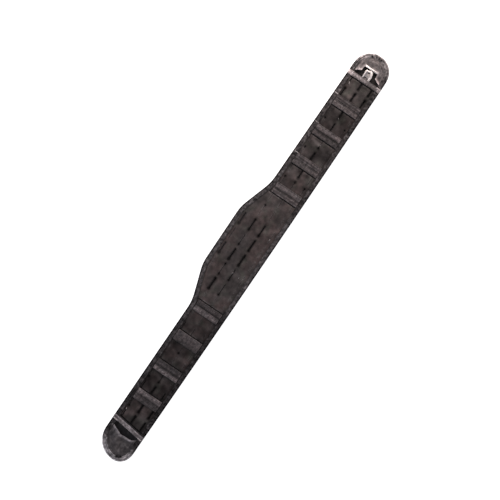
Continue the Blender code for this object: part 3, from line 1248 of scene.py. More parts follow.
PANEL_STREAKS = (  # the paler and darker patches of the face
    Streak(-416.0, 10.0, -414.0, -36.0, 0.45, 7.0),
    Streak(-396.0, 12.0, -400.0, -36.0, 0.25, 5.0),
    Streak(-338.0, 12.0, -336.0, -36.0, -0.30, 9.0),
    Streak(-318.0, 8.0, -320.0, -36.0, 0.30, 4.0),
    Streak(-252.0, 16.0, -261.0, -40.0, 0.55, 6.0),
    Streak(-276.0, 10.0, -274.0, -20.0, 0.20, 8.0),
    Streak(-239.0, 14.0, -240.0, -40.0, -0.25, 4.0),
    Streak(-206.0, 8.0, -200.0, -8.0, 0.35, 5.0),
    Streak(-192.0, -44.0, -168.0, -30.0, 0.30, 4.0),
    Streak(-116.0, 14.0, -94.0, -40.0, 0.40, 5.0),
    Streak(-44.0, -6.0, -40.0, -40.0, 0.35, 6.0),
    Streak(60.0, -6.0, 84.0, -42.0, 0.30, 5.0),
    Streak(86.0, 30.0, 118.0, 6.0, 0.25, 12.0),
    Streak(128.0, -10.0, 138.0, 12.0, 0.35, 6.0),
    Streak(206.0, 10.0, 204.0, -34.0, 0.40, 8.0),
    Streak(184.0, 8.0, 182.0, -36.0, -0.30, 7.0),
    Streak(276.0, 8.0, 274.0, -34.0, -0.25, 10.0),
    Streak(291.0, 6.0, 288.0, -8.0, 1.10, 4.0),
    Streak(336.0, 10.0, 334.0, -30.0, 0.25, 6.0),
    Streak(358.0, 10.0, 357.0, -36.0, -0.35, 8.0),
    Streak(372.0, 2.0, 370.0, -6.0, 0.70, 4.0),
    Streak(408.0, 4.0, 412.0, -34.0, 0.25, 8.0),
    Streak(436.0, 2.0, 434.0, -30.0, 0.35, 7.0),
)
LEFT_FOLDS = (  # of the pocket cloth at the left end; their ridges also carry painted highlights and their dents painted shade
    Streak(-470.0, -8.0, -484.0, -3.0, 0.9, 3.0),
    Streak(-484.0, -3.0, -496.0, 6.0, 0.6, 4.0),
    Streak(-472.0, -16.0, -490.0, -20.0, -0.7, 4.0),
    Streak(-466.0, 4.0, -482.0, 12.0, -0.8, 4.0),
    Streak(-455.0, 16.0, -470.0, -7.0, 0.9, 2.4),
    Streak(-469.0, -9.0, -465.0, -30.0, 0.7, 2.4),
    Streak(-467.5, -27.0, -466.0, -35.0, 1.6, 2.2),
    Streak(-457.0, 15.0, -459.0, 12.0, 0.9, 2.4),
    Streak(-476.0, -30.0, -498.0, -28.0, 0.5, 4.0),
    Streak(-488.0, 8.0, -504.0, -4.0, -0.5, 3.5),
)
RIGHT_FOLDS = (  # of the pocket cloth at the right end; their ridges also carry painted highlights and their dents painted shade
    Streak(467.0, 18.0, 474.0, 6.0, 0.8, 2.2),
    Streak(474.0, 14.0, 492.0, 12.0, 0.8, 2.6),
    Streak(472.0, 20.0, 490.0, 19.0, 0.6, 2.0),
    Streak(476.0, 10.5, 488.0, 7.0, -0.7, 2.2),
    Streak(491.0, 9.0, 496.0, -15.0, -0.6, 4.5),
    Streak(473.0, -29.0, 465.5, -44.0, 1.5, 1.8),
    Streak(477.0, -32.0, 471.0, -44.0, -1.0, 2.6),
    Streak(480.0, -34.0, 474.0, -46.0, -0.8, 3.5),
    Streak(500.0, -10.0, 504.0, -26.0, 0.5, 4.0),
    Streak(488.0, -30.0, 500.0, -24.0, 0.5, 3.0),
)
# Each panel's brightness: partly the panel's own shade, and partly painted light that is darker on
# the left half of the belt.
PANEL_TONES = {
    "face_panel_lumbar": 1.33,
    "face_panel_left_1": 0.78,
    "face_panel_left_2": 0.73,
    "face_panel_left_3": 0.70,
    "face_panel_left_4": 0.88,
    "face_panel_right_1": 1.28,
    "face_panel_right_2": 1.12,
    "face_panel_right_3": 0.84,
    "face_panel_right_4": 1.30,
}
EDGE_TACKS = ((249.0, 1.5), (327.0, 1.3), (402.0, 2.4))  # millimetres: x and width
LINT = (  # millimetres: x, y and length of each tuft
    (435.0, 12.0, 8.0),
    (-413.0, 14.0, 5.0),
    (-43.0, -38.0, 3.0),
    (59.0, -37.0, 3.0),
    (-44.0, -11.0, 4.5),
    (358.0, -12.0, 4.0),
    (289.0, -13.0, 3.0),
    (-45.0, -28.0, 2.5),
)
KNOTS = {  # millimetres: x, y and length of each dark knot
    Side.LEFT: ((-509.5, -27.0, 4.5), (-506.0, -33.5, 3.5)),
    Side.RIGHT: ((509.5, 2.5, 4.0), (513.0, -6.5, 3.0), (513.5, -12.0, 3.5), (513.0, -18.0, 3.0)),
}


@dataclass
class BackPad:
    """The padded back: foam in spacer mesh, pinched along its edge."""

    node: str = "padded_back"
    name: str = "back_pad"
    step: float = 6.0 * MM
    pressure: float = 4.0
    frames: int = 20
    fill: float = 0.5
    under_cap: float = 1.3 * MM
    top_cap: float = 0.15 * MM
    top_limit: float = 7.0 * MM

    def build(self) -> None:
        """Builds the pad from its CAD solid and lets it swell."""
        piece = new_piece(self.name, gridded_copy(self.node, self.step), 60.0)
        self.puff(piece)
        place_piece(piece, SPACER, (self.node,))

    def puff(self, piece: bpy.types.Object) -> None:
        """Swells the pad with cloth under pressure, then caps how far it moved.

        Args:
            piece: The pad.
        """
        before = [v.co.copy() for v in piece.data.vertices]
        cloth = piece.modifiers.new("puff", "CLOTH")
        cloth.settings.use_pressure = True
        cloth.settings.uniform_pressure_force = self.pressure
        cloth.settings.effector_weights.gravity = 0.0
        cloth.point_cache.frame_start = 1
        cloth.point_cache.frame_end = self.frames
        scene = bpy.context.scene
        for number in range(1, self.frames + 1):
            scene.frame_set(number)
        graph = bpy.context.evaluated_depsgraph_get()
        swollen = [v.co.copy() for v in piece.evaluated_get(graph).data.vertices]
        piece.modifiers.remove(cloth)
        scene.frame_set(1)
        for vert, old, new in zip(piece.data.vertices, before, swollen):
            move = new - old
            cap = self.top_cap if old.z > self.top_limit else self.under_cap
            if move.length > cap:
                move.length = cap
            vert.co = old + move
            vert.co.z = max(0.0, vert.co.z)


@dataclass
class EdgeTape:
    """The tape folded round the edge, with its puckers and two rows of stitches."""

    name: str = "edge_tape"
    pucker: float = 0.45 * MM
    pucker_pitch: float = 5.2 * MM
    rows: tuple[tuple[float, float, float], ...] = (  # inset, height, distance across
        (11.0 * MM, 0.65 * MM, 0.0 * MM),
        (8.0 * MM, 1.20 * MM, 3.1 * MM),
        (4.0 * MM, 2.15 * MM, 7.2 * MM),
        (1.3 * MM, 2.90 * MM, 10.0 * MM),
        (0.3 * MM, 3.60 * MM, 11.2 * MM),
        (0.0 * MM, 5.00 * MM, 12.6 * MM),
        (0.0 * MM, 8.20 * MM, 15.8 * MM),
        (0.35 * MM, 9.50 * MM, 17.2 * MM),
        (1.3 * MM, 10.25 * MM, 18.4 * MM),
        (2.4 * MM, 10.45 * MM, 19.5 * MM),
        (3.6 * MM, 10.66 * MM, 20.7 * MM),
        (4.7 * MM, 10.83 * MM, 21.8 * MM),
        (5.8 * MM, 10.98 * MM, 22.9 * MM),
        (7.0 * MM, 11.08 * MM, 24.1 * MM),
        (8.5 * MM, 11.20 * MM, 25.6 * MM),
        (10.2 * MM, 11.40 * MM, 27.3 * MM),
        (11.0 * MM, 11.30 * MM, 28.1 * MM),
        (11.0 * MM, 10.95 * MM, 28.5 * MM),
        (6.0 * MM, 10.35 * MM, 33.5 * MM),
        (1.1 * MM, 9.60 * MM, 38.4 * MM),
        (1.1 * MM, 3.70 * MM, 44.3 * MM),
        (4.0 * MM, 2.80 * MM, 47.3 * MM),
        (11.0 * MM, 1.15 * MM, 54.4 * MM),
        (11.0 * MM, 0.65 * MM, 54.9 * MM),
    )
    first_upper: int = 6
    last_upper: int = 16
    stitch_rows: tuple[float, ...] = (3.6 * MM, 8.8 * MM)
    stitch_pitch: float = 3.3 * MM
    stitch_length: float = 2.4 * MM
    stitch_dent: float = 0.22 * MM
    tip_start: float = 472 * MM
    tip_run: float = 32 * MM
    tip_rings: tuple[tuple[tuple[float, float], ...], ...] = (  # millimetres in, strength
        ((1.3, 0.7), (4.4, -0.25), (6.3, 0.2), (8.6, -0.25), (11.0, 0.25)),  # left
        ((0.9, 0.7), (4.6, -0.65), (7.2, 0.15), (10.5, -0.15)),  # right
    )
    tip_tone: tuple[float, float] = (4.4, 3.4)  # left, right
    mottle: Layers = ((1.1, 5 * MM, 21.0), (0.8, 13 * MM, 27.0))
    painted_light_ramp: tuple[float, float] = (0.61, 1.03)  # painted light, darker towards -X; the values at the two ends
    painted_side_light: tuple[float, float] = (0.92, 1.13)  # painted light, darker on the lower side: lower, upper
    lumbar_tone: tuple[float, float] = (0.95, 0.40)
    plain_tone: float = 0.6

    @property
    def upper_edge(self) -> float:
        """The plain height of the upper leg where it meets the face."""
        return self.rows[self.last_upper][1]

    def relief(self, distance: float, inset: float) -> float:
        """How far the tape's upper leg stands off its plain height.

        Args:
            distance: The place round the edge.
            inset: The distance in from the edge.

        Returns:
            A small height.
        """
        drawn_in = sum(bump(inset - row, 1.1 * MM) for row in self.stitch_rows)
        pucker = 0.4 * math.sin(math.tau * distance / self.pucker_pitch)
        pucker += 0.5 * smooth_noise(distance, inset, 19 * MM, 3.1)
        pucker += 0.6 * smooth_noise(distance, inset * 2, 5 * MM, 8.4)
        free = ease((inset - 1.0 * MM) / (4.0 * MM))
        return free * self.pucker * pucker - self.stitch_dent * drawn_in

    def tone(self, x: float, y: float) -> float:
        """The brightness of the yarn: painted shade on the fold, mottled on top, and painted light
        that is darker towards -X and on the lower side.

        Args:
            x: Place along the belt.
            y: Place across the belt.

        Returns:
            The factor on the finish's colour.
        """
        inset = plan.inset(x, y)
        right, upper = int(x > 0), int(y > 0)
        tip = ease((abs(x) - self.tip_start) / self.tip_run)
        calm = (1 - 0.4 * tip) * (0.6 + 0.4 * ease((abs(x) - 120 * MM) / (40 * MM)))
        shade = calm * layered_noise(x, y, self.mottle) + streaked(x, y, EDGE_STREAKS)
        shade -= 0.6 * (1 - tip) * bump(inset - 11 * MM, 0.9 * MM)
        for ring, strength in self.tip_rings[right]:
            shade += 1.3 * tip * strength * bump(inset - ring * MM, 1.1 * MM)
        if upper:
            rows = ease((x - 440 * MM) / (20 * MM)) * ease((512 * MM - x) / (20 * MM))
            shade += 0.9 * rows * math.cos(math.tau * (inset - 2.2 * MM) / (4.4 * MM))
        # Painted shade on the fold round the outer edge.
        fold = 0.06 + 0.94 * ease((inset - 1.0 * MM) / (2.6 * MM))
        fold += tip * (1.0 - fold)
        # Painted light: darker towards -X and on the lower side, times a factor that is lighter
        # over the lumbar part.
        low, high = self.painted_light_ramp
        worn = low + (high - low) * ease((x + 450 * MM) / (900 * MM))
        middle = ease((140 * MM - abs(x)) / (30 * MM))
        worn *= self.painted_side_light[upper] * (1 + middle * self.lumbar_tone[upper])
        return math.exp(shade) * fold * (worn + tip * self.tip_tone[right])

    def top(self, distance: float, inset: float) -> float:
        """The height of the tape's upper side at a place round the edge.

        Args:
            distance: The place round the edge.
            inset: The distance in from the edge.

        Returns:
            The height.
        """
        height = self.upper_edge
        upper = self.rows[self.first_upper : self.last_upper + 1]
        for (near, low, _), (far, high, _) in zip(upper, upper[1:]):
            if near <= inset <= far and far > near:
                height = low + (high - low) * (inset - near) / (far - near)
                break
        return height + self.relief(distance, inset)

    def build(self) -> None:
        """Builds the tape."""
        metres = [plan.step * i for i in range(len(plan.ring) + 1)]
        rings = []
        for number, (inset, height, _) in enumerate(self.rows[:-1]):
            upper = self.first_upper <= number <= self.last_upper
            ring = []
            for i, place in enumerate(plan.inset_ring(inset)):
                lift = self.relief(metres[i], inset) if upper else 0.0
                ring.append(Vector((*place, height + lift)))
            rings.append(ring)
        builder = swept_rings(rings, metres, [row[2] for row in self.rows])
        tones = builder.verts.layers.float.new("tone")
        for vert in builder.verts:
            x, y, z = vert.co
            plain = self.plain_tone * math.exp(0.4 * smooth_noise(x, y, 9 * MM, 33.0))
            seen = ease((z - 6 * MM) / (4 * MM))
            vert[tones] = plain + (self.tone(x, y) - plain) * seen
        piece = new_piece(self.name, builder, 75.0)
        place_piece(piece, BINDING, ("edge_binding",))

    def stitch(self) -> None:
        """Builds the two rows of stitches round the tape."""
        run = StitchRun()
        chance = random.Random(5)
        for inset in self.stitch_rows:
            for i in range(int(plan.length / self.stitch_pitch)):
                distance = i * self.stitch_pitch + chance.uniform(-0.2, 0.2) * MM
                place, along = plan.at(distance, inset + chance.uniform(-0.15, 0.15) * MM)
                length = self.stitch_length * chance.uniform(0.85, 1.1)
                run.add(Vector((*place, self.top(distance, inset))), along, length)
        run.finish("edge_stitches", THREAD, "nylon_binding")

    def tacks_and_lint(self) -> None:
        """Builds the pale bartacks in the upper edge and a few tufts of lint."""
        run = StitchRun()
        for x, width in EDGE_TACKS:
            ends = (Vector((x, 27.0)) * MM, Vector((x, 18.5)) * MM)
            run.bartack(ends, self.upper_edge, width * MM)
        chance = random.Random(17)
        for x, y, length in LINT:
            for _ in range(4):
                shift = Vector((chance.uniform(-1, 1), chance.uniform(-1, 1))) * 0.8 * MM
                spot = Vector((x, y)) * MM + shift
                along = Vector((1.0, chance.uniform(-0.6, 0.6)))
                place = Vector((*spot, swell.top(plan.inset(*spot)) + 0.5 * MM))
                run.add(place, along, length * chance.uniform(0.6, 1.0) * MM, 0.35 * MM)
        run.finish("edge_tacks_and_lint", PALE_THREAD, "nylon_binding")


@dataclass(frozen=True)
class BandLook:
    """What sets one webbing band apart: its place and the tones of its ribs.

    The ribs run along the band, and their tones are listed from -X to +X.
    """

    side: Side
    number: int
    place: int
    ribs: tuple[float, ...]
    groove: float = 1.0

    @property
    def name(self) -> str:
        """The band's name."""
        return f"webbing_band_{self.side.word}_{self.number}"

    @property
    def middle_x(self) -> float:
        """The middle line of the band."""
        return grid.web_x(self.side, self.place)


BAND_LOOKS = (
    BandLook(Side.LEFT, 1, 4, (1.20, 1.36, 1.28, 1.08, 0.52, 0.84, 0.88, 1.00)),
    BandLook(Side.LEFT, 2, 6, (0.72, 0.82, 0.92, 0.98, 0.95, 0.98, 1.04, 1.28), 0.0),
    BandLook(Side.LEFT, 3, 8, (1.36, 1.52, 1.20, 0.62, 0.72, 0.92, 0.80, 0.78)),
    BandLook(Side.LEFT, 4, 10, (0.84, 1.00, 0.86, 0.80, 0.96, 1.34, 1.56, 1.38)),
    BandLook(Side.RIGHT, 1, 4, (1.30, 0.84, 1.20, 0.62, 1.08, 1.26, 1.30, 1.08)),
    BandLook(Side.RIGHT, 2, 6, (0.98, 1.08, 1.14, 0.74, 1.26, 0.80, 1.26, 1.08)),
    BandLook(Side.RIGHT, 3, 8, (0.82, 0.92, 0.82, 0.42, 0.92, 1.24, 1.36, 1.12), 1.5),
    BandLook(Side.RIGHT, 4, 10, (1.24, 1.12, 1.28, 0.72, 1.02, 0.62, 1.12, 0.80)),
)


def stretched_sheet(
    piece: bpy.types.Object, finish: Finish, node: str, share: float
) -> None:
    """Dresses a cloth that lies stretched over the pad.

    Args:
        piece: The cloth.
        finish: Its finish.
        node: The CAD node that it stands for.
        share: How much of the node's box is cloth; not used.
    """
    low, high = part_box(node)
    place_piece(piece, finish, (node,))


@dataclass
class FacePanel:
    """One panel of the slotted laminate face."""

    node: str
    step: float = 4.0 * MM
    thickness: float = 1.25 * MM
    sag: float = 0.60 * MM
    sags: Layers = ((1.0, 42 * MM, 0.0), (0.5, 14 * MM, 5.0))
    strip_swell: float = 0.45 * MM
    curl: float = 1.1 * MM
    lip_rise: float = 0.30 * MM
    band_reach: float = 12.7 * MM
    band_press: float = 0.55 * MM
    least_gape: float = 0.07
    end_start: float = 0.60
    end_run: float = 0.25
    patches: Layers = ((0.45, 30 * MM, 51.0), (0.55, 11 * MM, 57.0))
    lumbar_calm: float = 0.6
    row_cuts: tuple[float, ...] = (-4.0 * MM, -2.4 * MM, 0.0, 2.4 * MM, 4.0 * MM)
    row_clear: float = 4.2 * MM
    end_cuts: tuple[float, ...] = (1.2 * MM, -1.8 * MM, -5.2 * MM)
    end_clear: float = 1.5 * MM
    low: Vector = field(init=False)
    high: Vector = field(init=False)
    seed: float = field(init=False)

    def __post_init__(self) -> None:
        """Reads the panel's box and picks its own field of noise."""
        self.low, self.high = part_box(self.node)
        self.seed = (sum(ord(c) for c in self.node) % 97) * 1.37

    @property
    def is_lumbar(self) -> bool:
        """Whether this is the wide panel in the middle."""
        return "lumbar" in self.node

    def end_distance(self, x: float) -> float:
        """The distance from a place to the panel's nearer end."""
        return min(abs(x - self.low.x), abs(x - self.high.x))

    def relief(self, x: float, y: float, slot: SlotSpot) -> float:
        """How far the panel stands off the face's plain swell.

        Args:
            x: Place along the belt.
            y: Place across the belt.
            slot: The place, seen from its nearest slot.

        Returns:
            A small height.
        """
        height = self.sag * layered_noise(x, y, self.sags, self.seed)
        height += self.strip_swell * (0.5 - wave(slot.dy, grid.row_pitch))
        if abs(slot.dx) < grid.length / 2:
            lip = bump(abs(slot.dy) - grid.width / 2, 1.5 * MM)
            height += self.lip_rise * (1 - slot.gape) * lip
        curl = 0.3 + smooth_noise(y, x, 16 * MM, 2.2)
        height += self.curl * bump(self.end_distance(x), 5 * MM) * curl
        for look in BAND_LOOKS:
            away = abs(x - look.middle_x) - self.band_reach
            pressed = 1 - ease(away / (5 * MM))
            height = height * (1 - pressed) - self.band_press * pressed
        return height

    def tone(self, x: float, y: float, slot: SlotSpot) -> float:
        """The brightness of the laminate at a place, with painted shade round the gaping slots and
        deeper at their gaping ends.

        Args:
            x: Place along the belt.
            y: Place across the belt.
            slot: The place, seen from its nearest slot.

        Returns:
            The factor on the finish's colour.
        """
        calm = self.lumbar_calm if self.is_lumbar else 1.0
        shade = calm * layered_noise(x, y, self.patches, self.seed)
        shade += streaked(x, y, PANEL_STREAKS)
        rubbed = smooth_noise(y, x, 11 * MM, 3.0 + self.seed)
        shade += 0.6 * bump(self.end_distance(x), 9 * MM) * rubbed
        shade -= 0.35 * calm**3 * bump(plan.inset(x, y) - 11.5 * MM, 2.5 * MM)
        # Painted shade round a gaping slot, deeper at a gaping end.
        depth = bump(math.hypot(slot.out_x, slot.out_y), 1.9 * MM)
        shade -= 1.1 * slot.gape**2 * depth
        if slot.end_gapes:
            corner = math.hypot(abs(slot.dx) - grid.length / 2 + 1.5 * MM, slot.dy)
            shade -= 1.6 * bump(corner, 3.0 * MM)
        return PANEL_TONES[self.node] * math.exp(shade)

    def cuts(self) -> tuple[list[float], list[float]]:
        """Where the panel is cut so that it can bend.

        Returns:
            The places along the belt and the places across it.
        """
        low, high = self.low, self.high
        ys = even_cuts(low.y, high.y, self.step)
        for row in Row:
            middle = grid.row_y(row)
            ys = [y for y in ys if abs(y - middle) > self.row_clear]
            ys += [middle + cut for cut in self.row_cuts]
        ends = []
        for column in range(grid.first_column, -grid.first_column):
            for beyond in self.end_cuts:
                reach = grid.length / 2 + beyond
                ends += [grid.slot_x(column) - reach, grid.slot_x(column) + reach]
        ends = [x for x in ends if low.x < x < high.x]
        xs = even_cuts(low.x, high.x, self.step)
        xs = [x for x in xs if all(abs(x - end) > self.end_clear for end in ends)]
        return xs + ends, [y for y in ys if low.y < y < high.y]

    def lip_shift(self, slot: SlotSpot) -> float:
        """How far a place near a slot moves towards the slot's middle line.

        Args:
            slot: The place, seen from its nearest slot.

        Returns:
            The signed distance across the belt.
        """
        if abs(slot.dy) < 0.1 * MM:
            return 0.0
        gape = max(self.least_gape, slot.gape)
        if slot.end_gapes:
            share = abs(slot.dx) / (grid.length / 2)
            gape += (1 - gape) * ease((share - self.end_start) / self.end_run)
        fade = math.exp(-slot.out_y / (2.6 * MM) - slot.out_x / (1.6 * MM))
        return math.copysign(grid.width / 2 * (1 - gape) * fade, slot.dy)

    def build(self) -> None:
        """Builds the panel from its CAD solid."""
        builder = merged_copy(self.node)
        cut_into_grid(builder, *self.cuts())
        cut = builder.verts.layers.float.new("cut")
        tones = builder.verts.layers.float.new("tone")
        for vert in builder.verts:
            x, y, z = vert.co
            slot = grid.nearest(x, y)
            plain = swell.top(plan.inset(x, y))
            is_top = z > plain - self.thickness / 2
            edge = min(math.hypot(slot.out_x, slot.out_y), self.end_distance(x))
            vert[cut] = math.exp(-edge / (1.0 * MM)) if is_top else 1.0
            vert[tones] = self.tone(x, y, slot)
            free = ease((plan.inset(x, y) - 10.5 * MM) / (4 * MM))
            raised = plain + self.relief(x, y, slot)
            height = raised * free + (plain - 0.1 * MM) * (1 - free)
            vert.co.z = height if is_top else height - self.thickness
            vert.co.y = y - self.lip_shift(slot)
        piece = new_piece(f"{self.node}_cloth", builder, 50.0)
        share = 0.90 if self.is_lumbar else 0.97
        stretched_sheet(piece, LAMINATE, self.node, share)


@dataclass
class WebbingBand:
    """A webbing band across the face, with ribs along it and a groove between halves."""

    look: BandLook
    width: float = 25.4 * MM
    thickness: float = 1.5 * MM
    rounded_edge: float = 1.0 * MM
    rib_height: float = 0.20 * MM
    knot_pitch: float = 2.9 * MM
    groove_width: float = 1.0 * MM
    groove_depth: float = 0.75 * MM
    clearance: float = 0.3 * MM
    wander: float = 0.35 * MM
    twist: float = 0.28 * MM
    tuck: float = 0.5 * MM
    tuck_length: float = 3.5 * MM
    tone_length: float = 60 * MM
    contrast: float = 1.8
    stitch_offset: float = 10.9 * MM
    stitch_end: float = 1.5 * MM
    low: float = field(init=False)
    high: float = field(init=False)
    seed: float = field(init=False)

    def __post_init__(self) -> None:
        """Reads how far the band reaches and picks its own field of noise."""
        low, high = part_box(self.look.name)
        self.low, self.high = low.y, high.y
        self.seed = self.look.place * 3.3 + self.look.side.value

    def place(self, u: float, v: float, w: float) -> Vector:
        """The place of a point of the band.

        Args:
            u: The share across the band, from 0 to 1 towards +X.
            v: The share along it, from 0 to 1 towards +Y.
            w: 0 on its underside and 1 on its top.

        Returns:
            The place.
        """
        across = (u - 0.5) * self.width
        y = self.low + (self.high - self.low) * v
        x = self.look.middle_x + across
        x += self.wander * smooth_noise(y, 0.0, 22 * MM, self.seed + across)
        full = rounding(across, self.width, self.rounded_edge)
        lift = 0.10 * MM * (1 + smooth_noise(x, y, 15 * MM, self.seed))
        base = swell.top(plan.inset(x, y)) + self.clearance + lift
        if w < 0.5:
            return Vector((x, y, base + self.thickness * 0.35 * (1 - full)))
        rib = abs(math.sin(math.pi * u * len(self.look.ribs)))
        rib *= 1 - 0.45 * wave(y, self.knot_pitch)
        top = self.thickness * (0.55 + 0.45 * full) + self.rib_height * rib * full
        top -= self.groove_depth * self.look.groove * bump(across, self.groove_width)
        top += self.twist * smooth_noise(x, y, 13 * MM, self.seed + 4)
        end = min(v, 1 - v) * (self.high - self.low)
        top -= self.tuck * (1 - ease(end / self.tuck_length))
        return Vector((x, y, base + top))

    def tone(self, u: float, v: float) -> float:
        """The brightness of the yarn, with painted shade between the ribs and in the groove between
        the halves.

        Args:
            u: The share across the band.
            v: The share along it.

        Returns:
            The factor on the finish's colour.
        """
        count, along = len(self.look.ribs), v * self.tone_length
        spot = min(max(u * count - 0.5, 0.0), count - 1.001)
        left, right = self.look.ribs[int(spot)], self.look.ribs[int(spot) + 1]
        yarn = (left + (right - left) * ease(spot % 1.0)) ** self.contrast
        # Painted shade between the ribs and in the groove between the halves.
        between = 1 - abs(math.sin(math.pi * u * count))
        groove = 1 - 0.45 * self.look.groove * bump((u - 0.5) * self.width, 1.2 * MM)
        worn = 1 + 0.22 * smooth_noise(u * 25 * MM, along, 6 * MM, self.seed)
        ends = 0.18 * bump(min(v, 1 - v) * self.tone_length, 4 * MM)
        shade = yarn * groove * worn * (1 - 0.25 * between) + ends
        return shade * (1 - 0.22 * wave(along, self.knot_pitch))

    def build(self) -> None:
        """Builds the band."""
        size = (self.width, self.high - self.low)
        builder = woven_slab(62, 34, self.place, size, self.tone)
        piece = new_piece(f"{self.look.name}_weave", builder, 60.0)
        place_piece(piece, WEBBING, (self.look.name,))

    def stitch(self, run: StitchRun) -> None:
        """Adds the band's rows of stitches to the stitches of all bands.

        Args:
            run: The stitches of all bands.
        """
        low, high = self.low + self.stitch_end, self.high - self.stitch_end
        for offset in (-self.stitch_offset, self.stitch_offset):
            x = self.look.middle_x + offset
            run.row((Vector((x, low)), Vector((x, high))), self.top, 3.2 * MM, 2.3 * MM)

    def top(self, x: float, y: float) -> float:
        """The height of the band's upper side at a place."""
        u = (x - self.look.middle_x) / self.width + 0.5
        return self.place(u, (y - self.low) / (self.high - self.low), 1.0).z


@dataclass
class EndTape:
    """A narrow pale tape over the belt where an end pocket starts."""

    side: Side
    thickness: float = 1.3 * MM
    rounded_edge: float = 0.9 * MM
    wander: float = 0.5 * MM
    rib_height: float = 0.10 * MM
    rib_pitch: float = 1.9 * MM
    twist: float = 0.25 * MM
    edge_drop: float = 0.7 * MM
    heights: tuple[float, float, float] = (10.6 * MM, 11.4 * MM, 12.1 * MM)
    edge_run: float = 6 * MM
    rise_run: float = 12 * MM
    grain: Layers = ((0.9, 3 * MM, 4.0), (0.5, 9 * MM, 14.0))
    stitch_lines: tuple[float, float] = (0.14, 0.86)
    bar_ends: tuple[tuple[float, float], ...] = ((0.02, 0.13), (0.87, 0.98))
    bar_lift: float = 0.6 * MM
    bar_width: float = 3.5 * MM
    low: float = field(init=False)
    high: float = field(init=False)
    starts: tuple[float, float] = field(init=False)
    width: float = field(init=False)

    def __post_init__(self) -> None:
        """Reads the tape's length, its width and its lean from its CAD solid."""
        places = [v.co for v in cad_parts[self.node].data.vertices]
        self.low, self.high = min(p.y for p in places), max(p.y for p in places)
        near, far = (
            [p.x for p in places if abs(p.y - y) < 0.5 * MM] for y in (self.low, self.high)
        )
        self.starts = (min(near), min(far))
        self.width = max(near) - min(near)

    @property
    def node(self) -> str:
        """The CAD node that the tape stands for."""
        return f"end_tape_{self.side.word}"

    def under(self, y: float) -> float:
        """The height of the tape's underside at a place across the belt.

        Args:
            y: The place.

        Returns:
            The height.
        """
        inset = min(y - self.low, self.high - y) + self.edge_drop
        edge, shoulder, top = self.heights
        if inset < self.edge_run:
            return edge + (shoulder - edge) * ease(inset / self.edge_run)
        return shoulder + (top - shoulder) * ease((inset - self.edge_run) / self.rise_run)

    def place(self, u: float, v: float, w: float) -> Vector:
        """The place of a point of the tape.

        Args:
            u: The share across the tape, from 0 to 1 towards +X.
            v: The share along it, from 0 to 1 towards +Y.
            w: 0 on its underside and 1 on its top.

        Returns:
            The place.
        """
        y = self.low + (self.high - self.low) * v
        x = self.starts[0] + (self.starts[1] - self.starts[0]) * v + u * self.width
        x += self.wander * smooth_noise(y, 0.0, 24 * MM, 6.0 + self.side.value)
        across = (u - 0.5) * self.width
        full = rounding(across, self.width, self.rounded_edge)
        if w < 0.5:
            return Vector((x, y, self.under(y) + self.thickness * 0.3 * (1 - full)))
        top = self.thickness * (0.55 + 0.45 * full)
        top += self.rib_height * wave(across, self.rib_pitch)
        top += self.twist * smooth_noise(x, y, 11 * MM, 9.0)
        return Vector((x, y, self.under(y) + top))

    def tone(self, u: float, v: float) -> float:
        """The brightness of the yarn, with painted shade along the edge towards the belt's middle,
        and on the right tape a weaker one along the outer edge.

        Args:
            u: The share across the tape.
            v: The share along it.

        Returns:
            The factor on the finish's colour.
        """
        grain = layered_noise(u * 12 * MM, v * 80 * MM, self.grain)
        if self.side is Side.LEFT:
            grain += 0.5 * bump(u - 0.64, 0.09) + 0.3 * bump(u - 0.12, 0.08)
            grain += 0.35 * bump(v - 0.5, 0.35) - 0.25
            # Painted shade along the edge towards the belt's middle.
            return math.exp(grain) * (1 - 0.93 * ease((u - 0.74) / 0.07))
        # The two subtracted bumps are painted shade along the edges, deeper towards the belt's
        # middle.
        grain += 0.5 * bump(u - 0.62, 0.22) - 1.0 * bump(u, 0.13) - 0.5 * bump(u - 1, 0.10)
        long = 0.52 + 0.55 * ease((v - 0.38) / 0.30)
        long += 2.0 * ease((v - 0.84) / 0.05) + 0.9 * ease((0.12 - v) / 0.05)
        return math.exp(grain) * long

    def build(self) -> None:
        """Builds the tape."""
        size = (self.width, self.high - self.low)
        builder = woven_slab(30, 46, self.place, size, self.tone)
        piece = new_piece(f"{self.node}_weave", builder, 60.0)
        place_piece(piece, END_TAPE, (self.node,))

    def stitch(self, run: StitchRun, bars: StitchRun) -> None:
        """Adds the tape's stitches and the pale bars at its two ends.

        Args:
            run: The thin stitches.
            bars: The dense bars.
        """
        for u in self.stitch_lines:
            start, end = self.place(u, 0.04, 1.0), self.place(u, 0.96, 1.0)
            run.row((start.to_2d(), end.to_2d()), self.top, 2.9 * MM, 2.0 * MM)
        outer = 0.09 if self.side is Side.LEFT else 0.80
        for first, last in self.bar_ends:
            start, end = self.place(outer, first, 1.0), self.place(outer, last, 1.0)
            height = max(start.z, end.z) + self.bar_lift
            bars.bartack((start.to_2d(), end.to_2d()), height, self.bar_width)

    def top(self, _x: float, y: float) -> float:
        """The height of the tape's upper side, which is the same all across it."""
        return self.under(y) + self.thickness


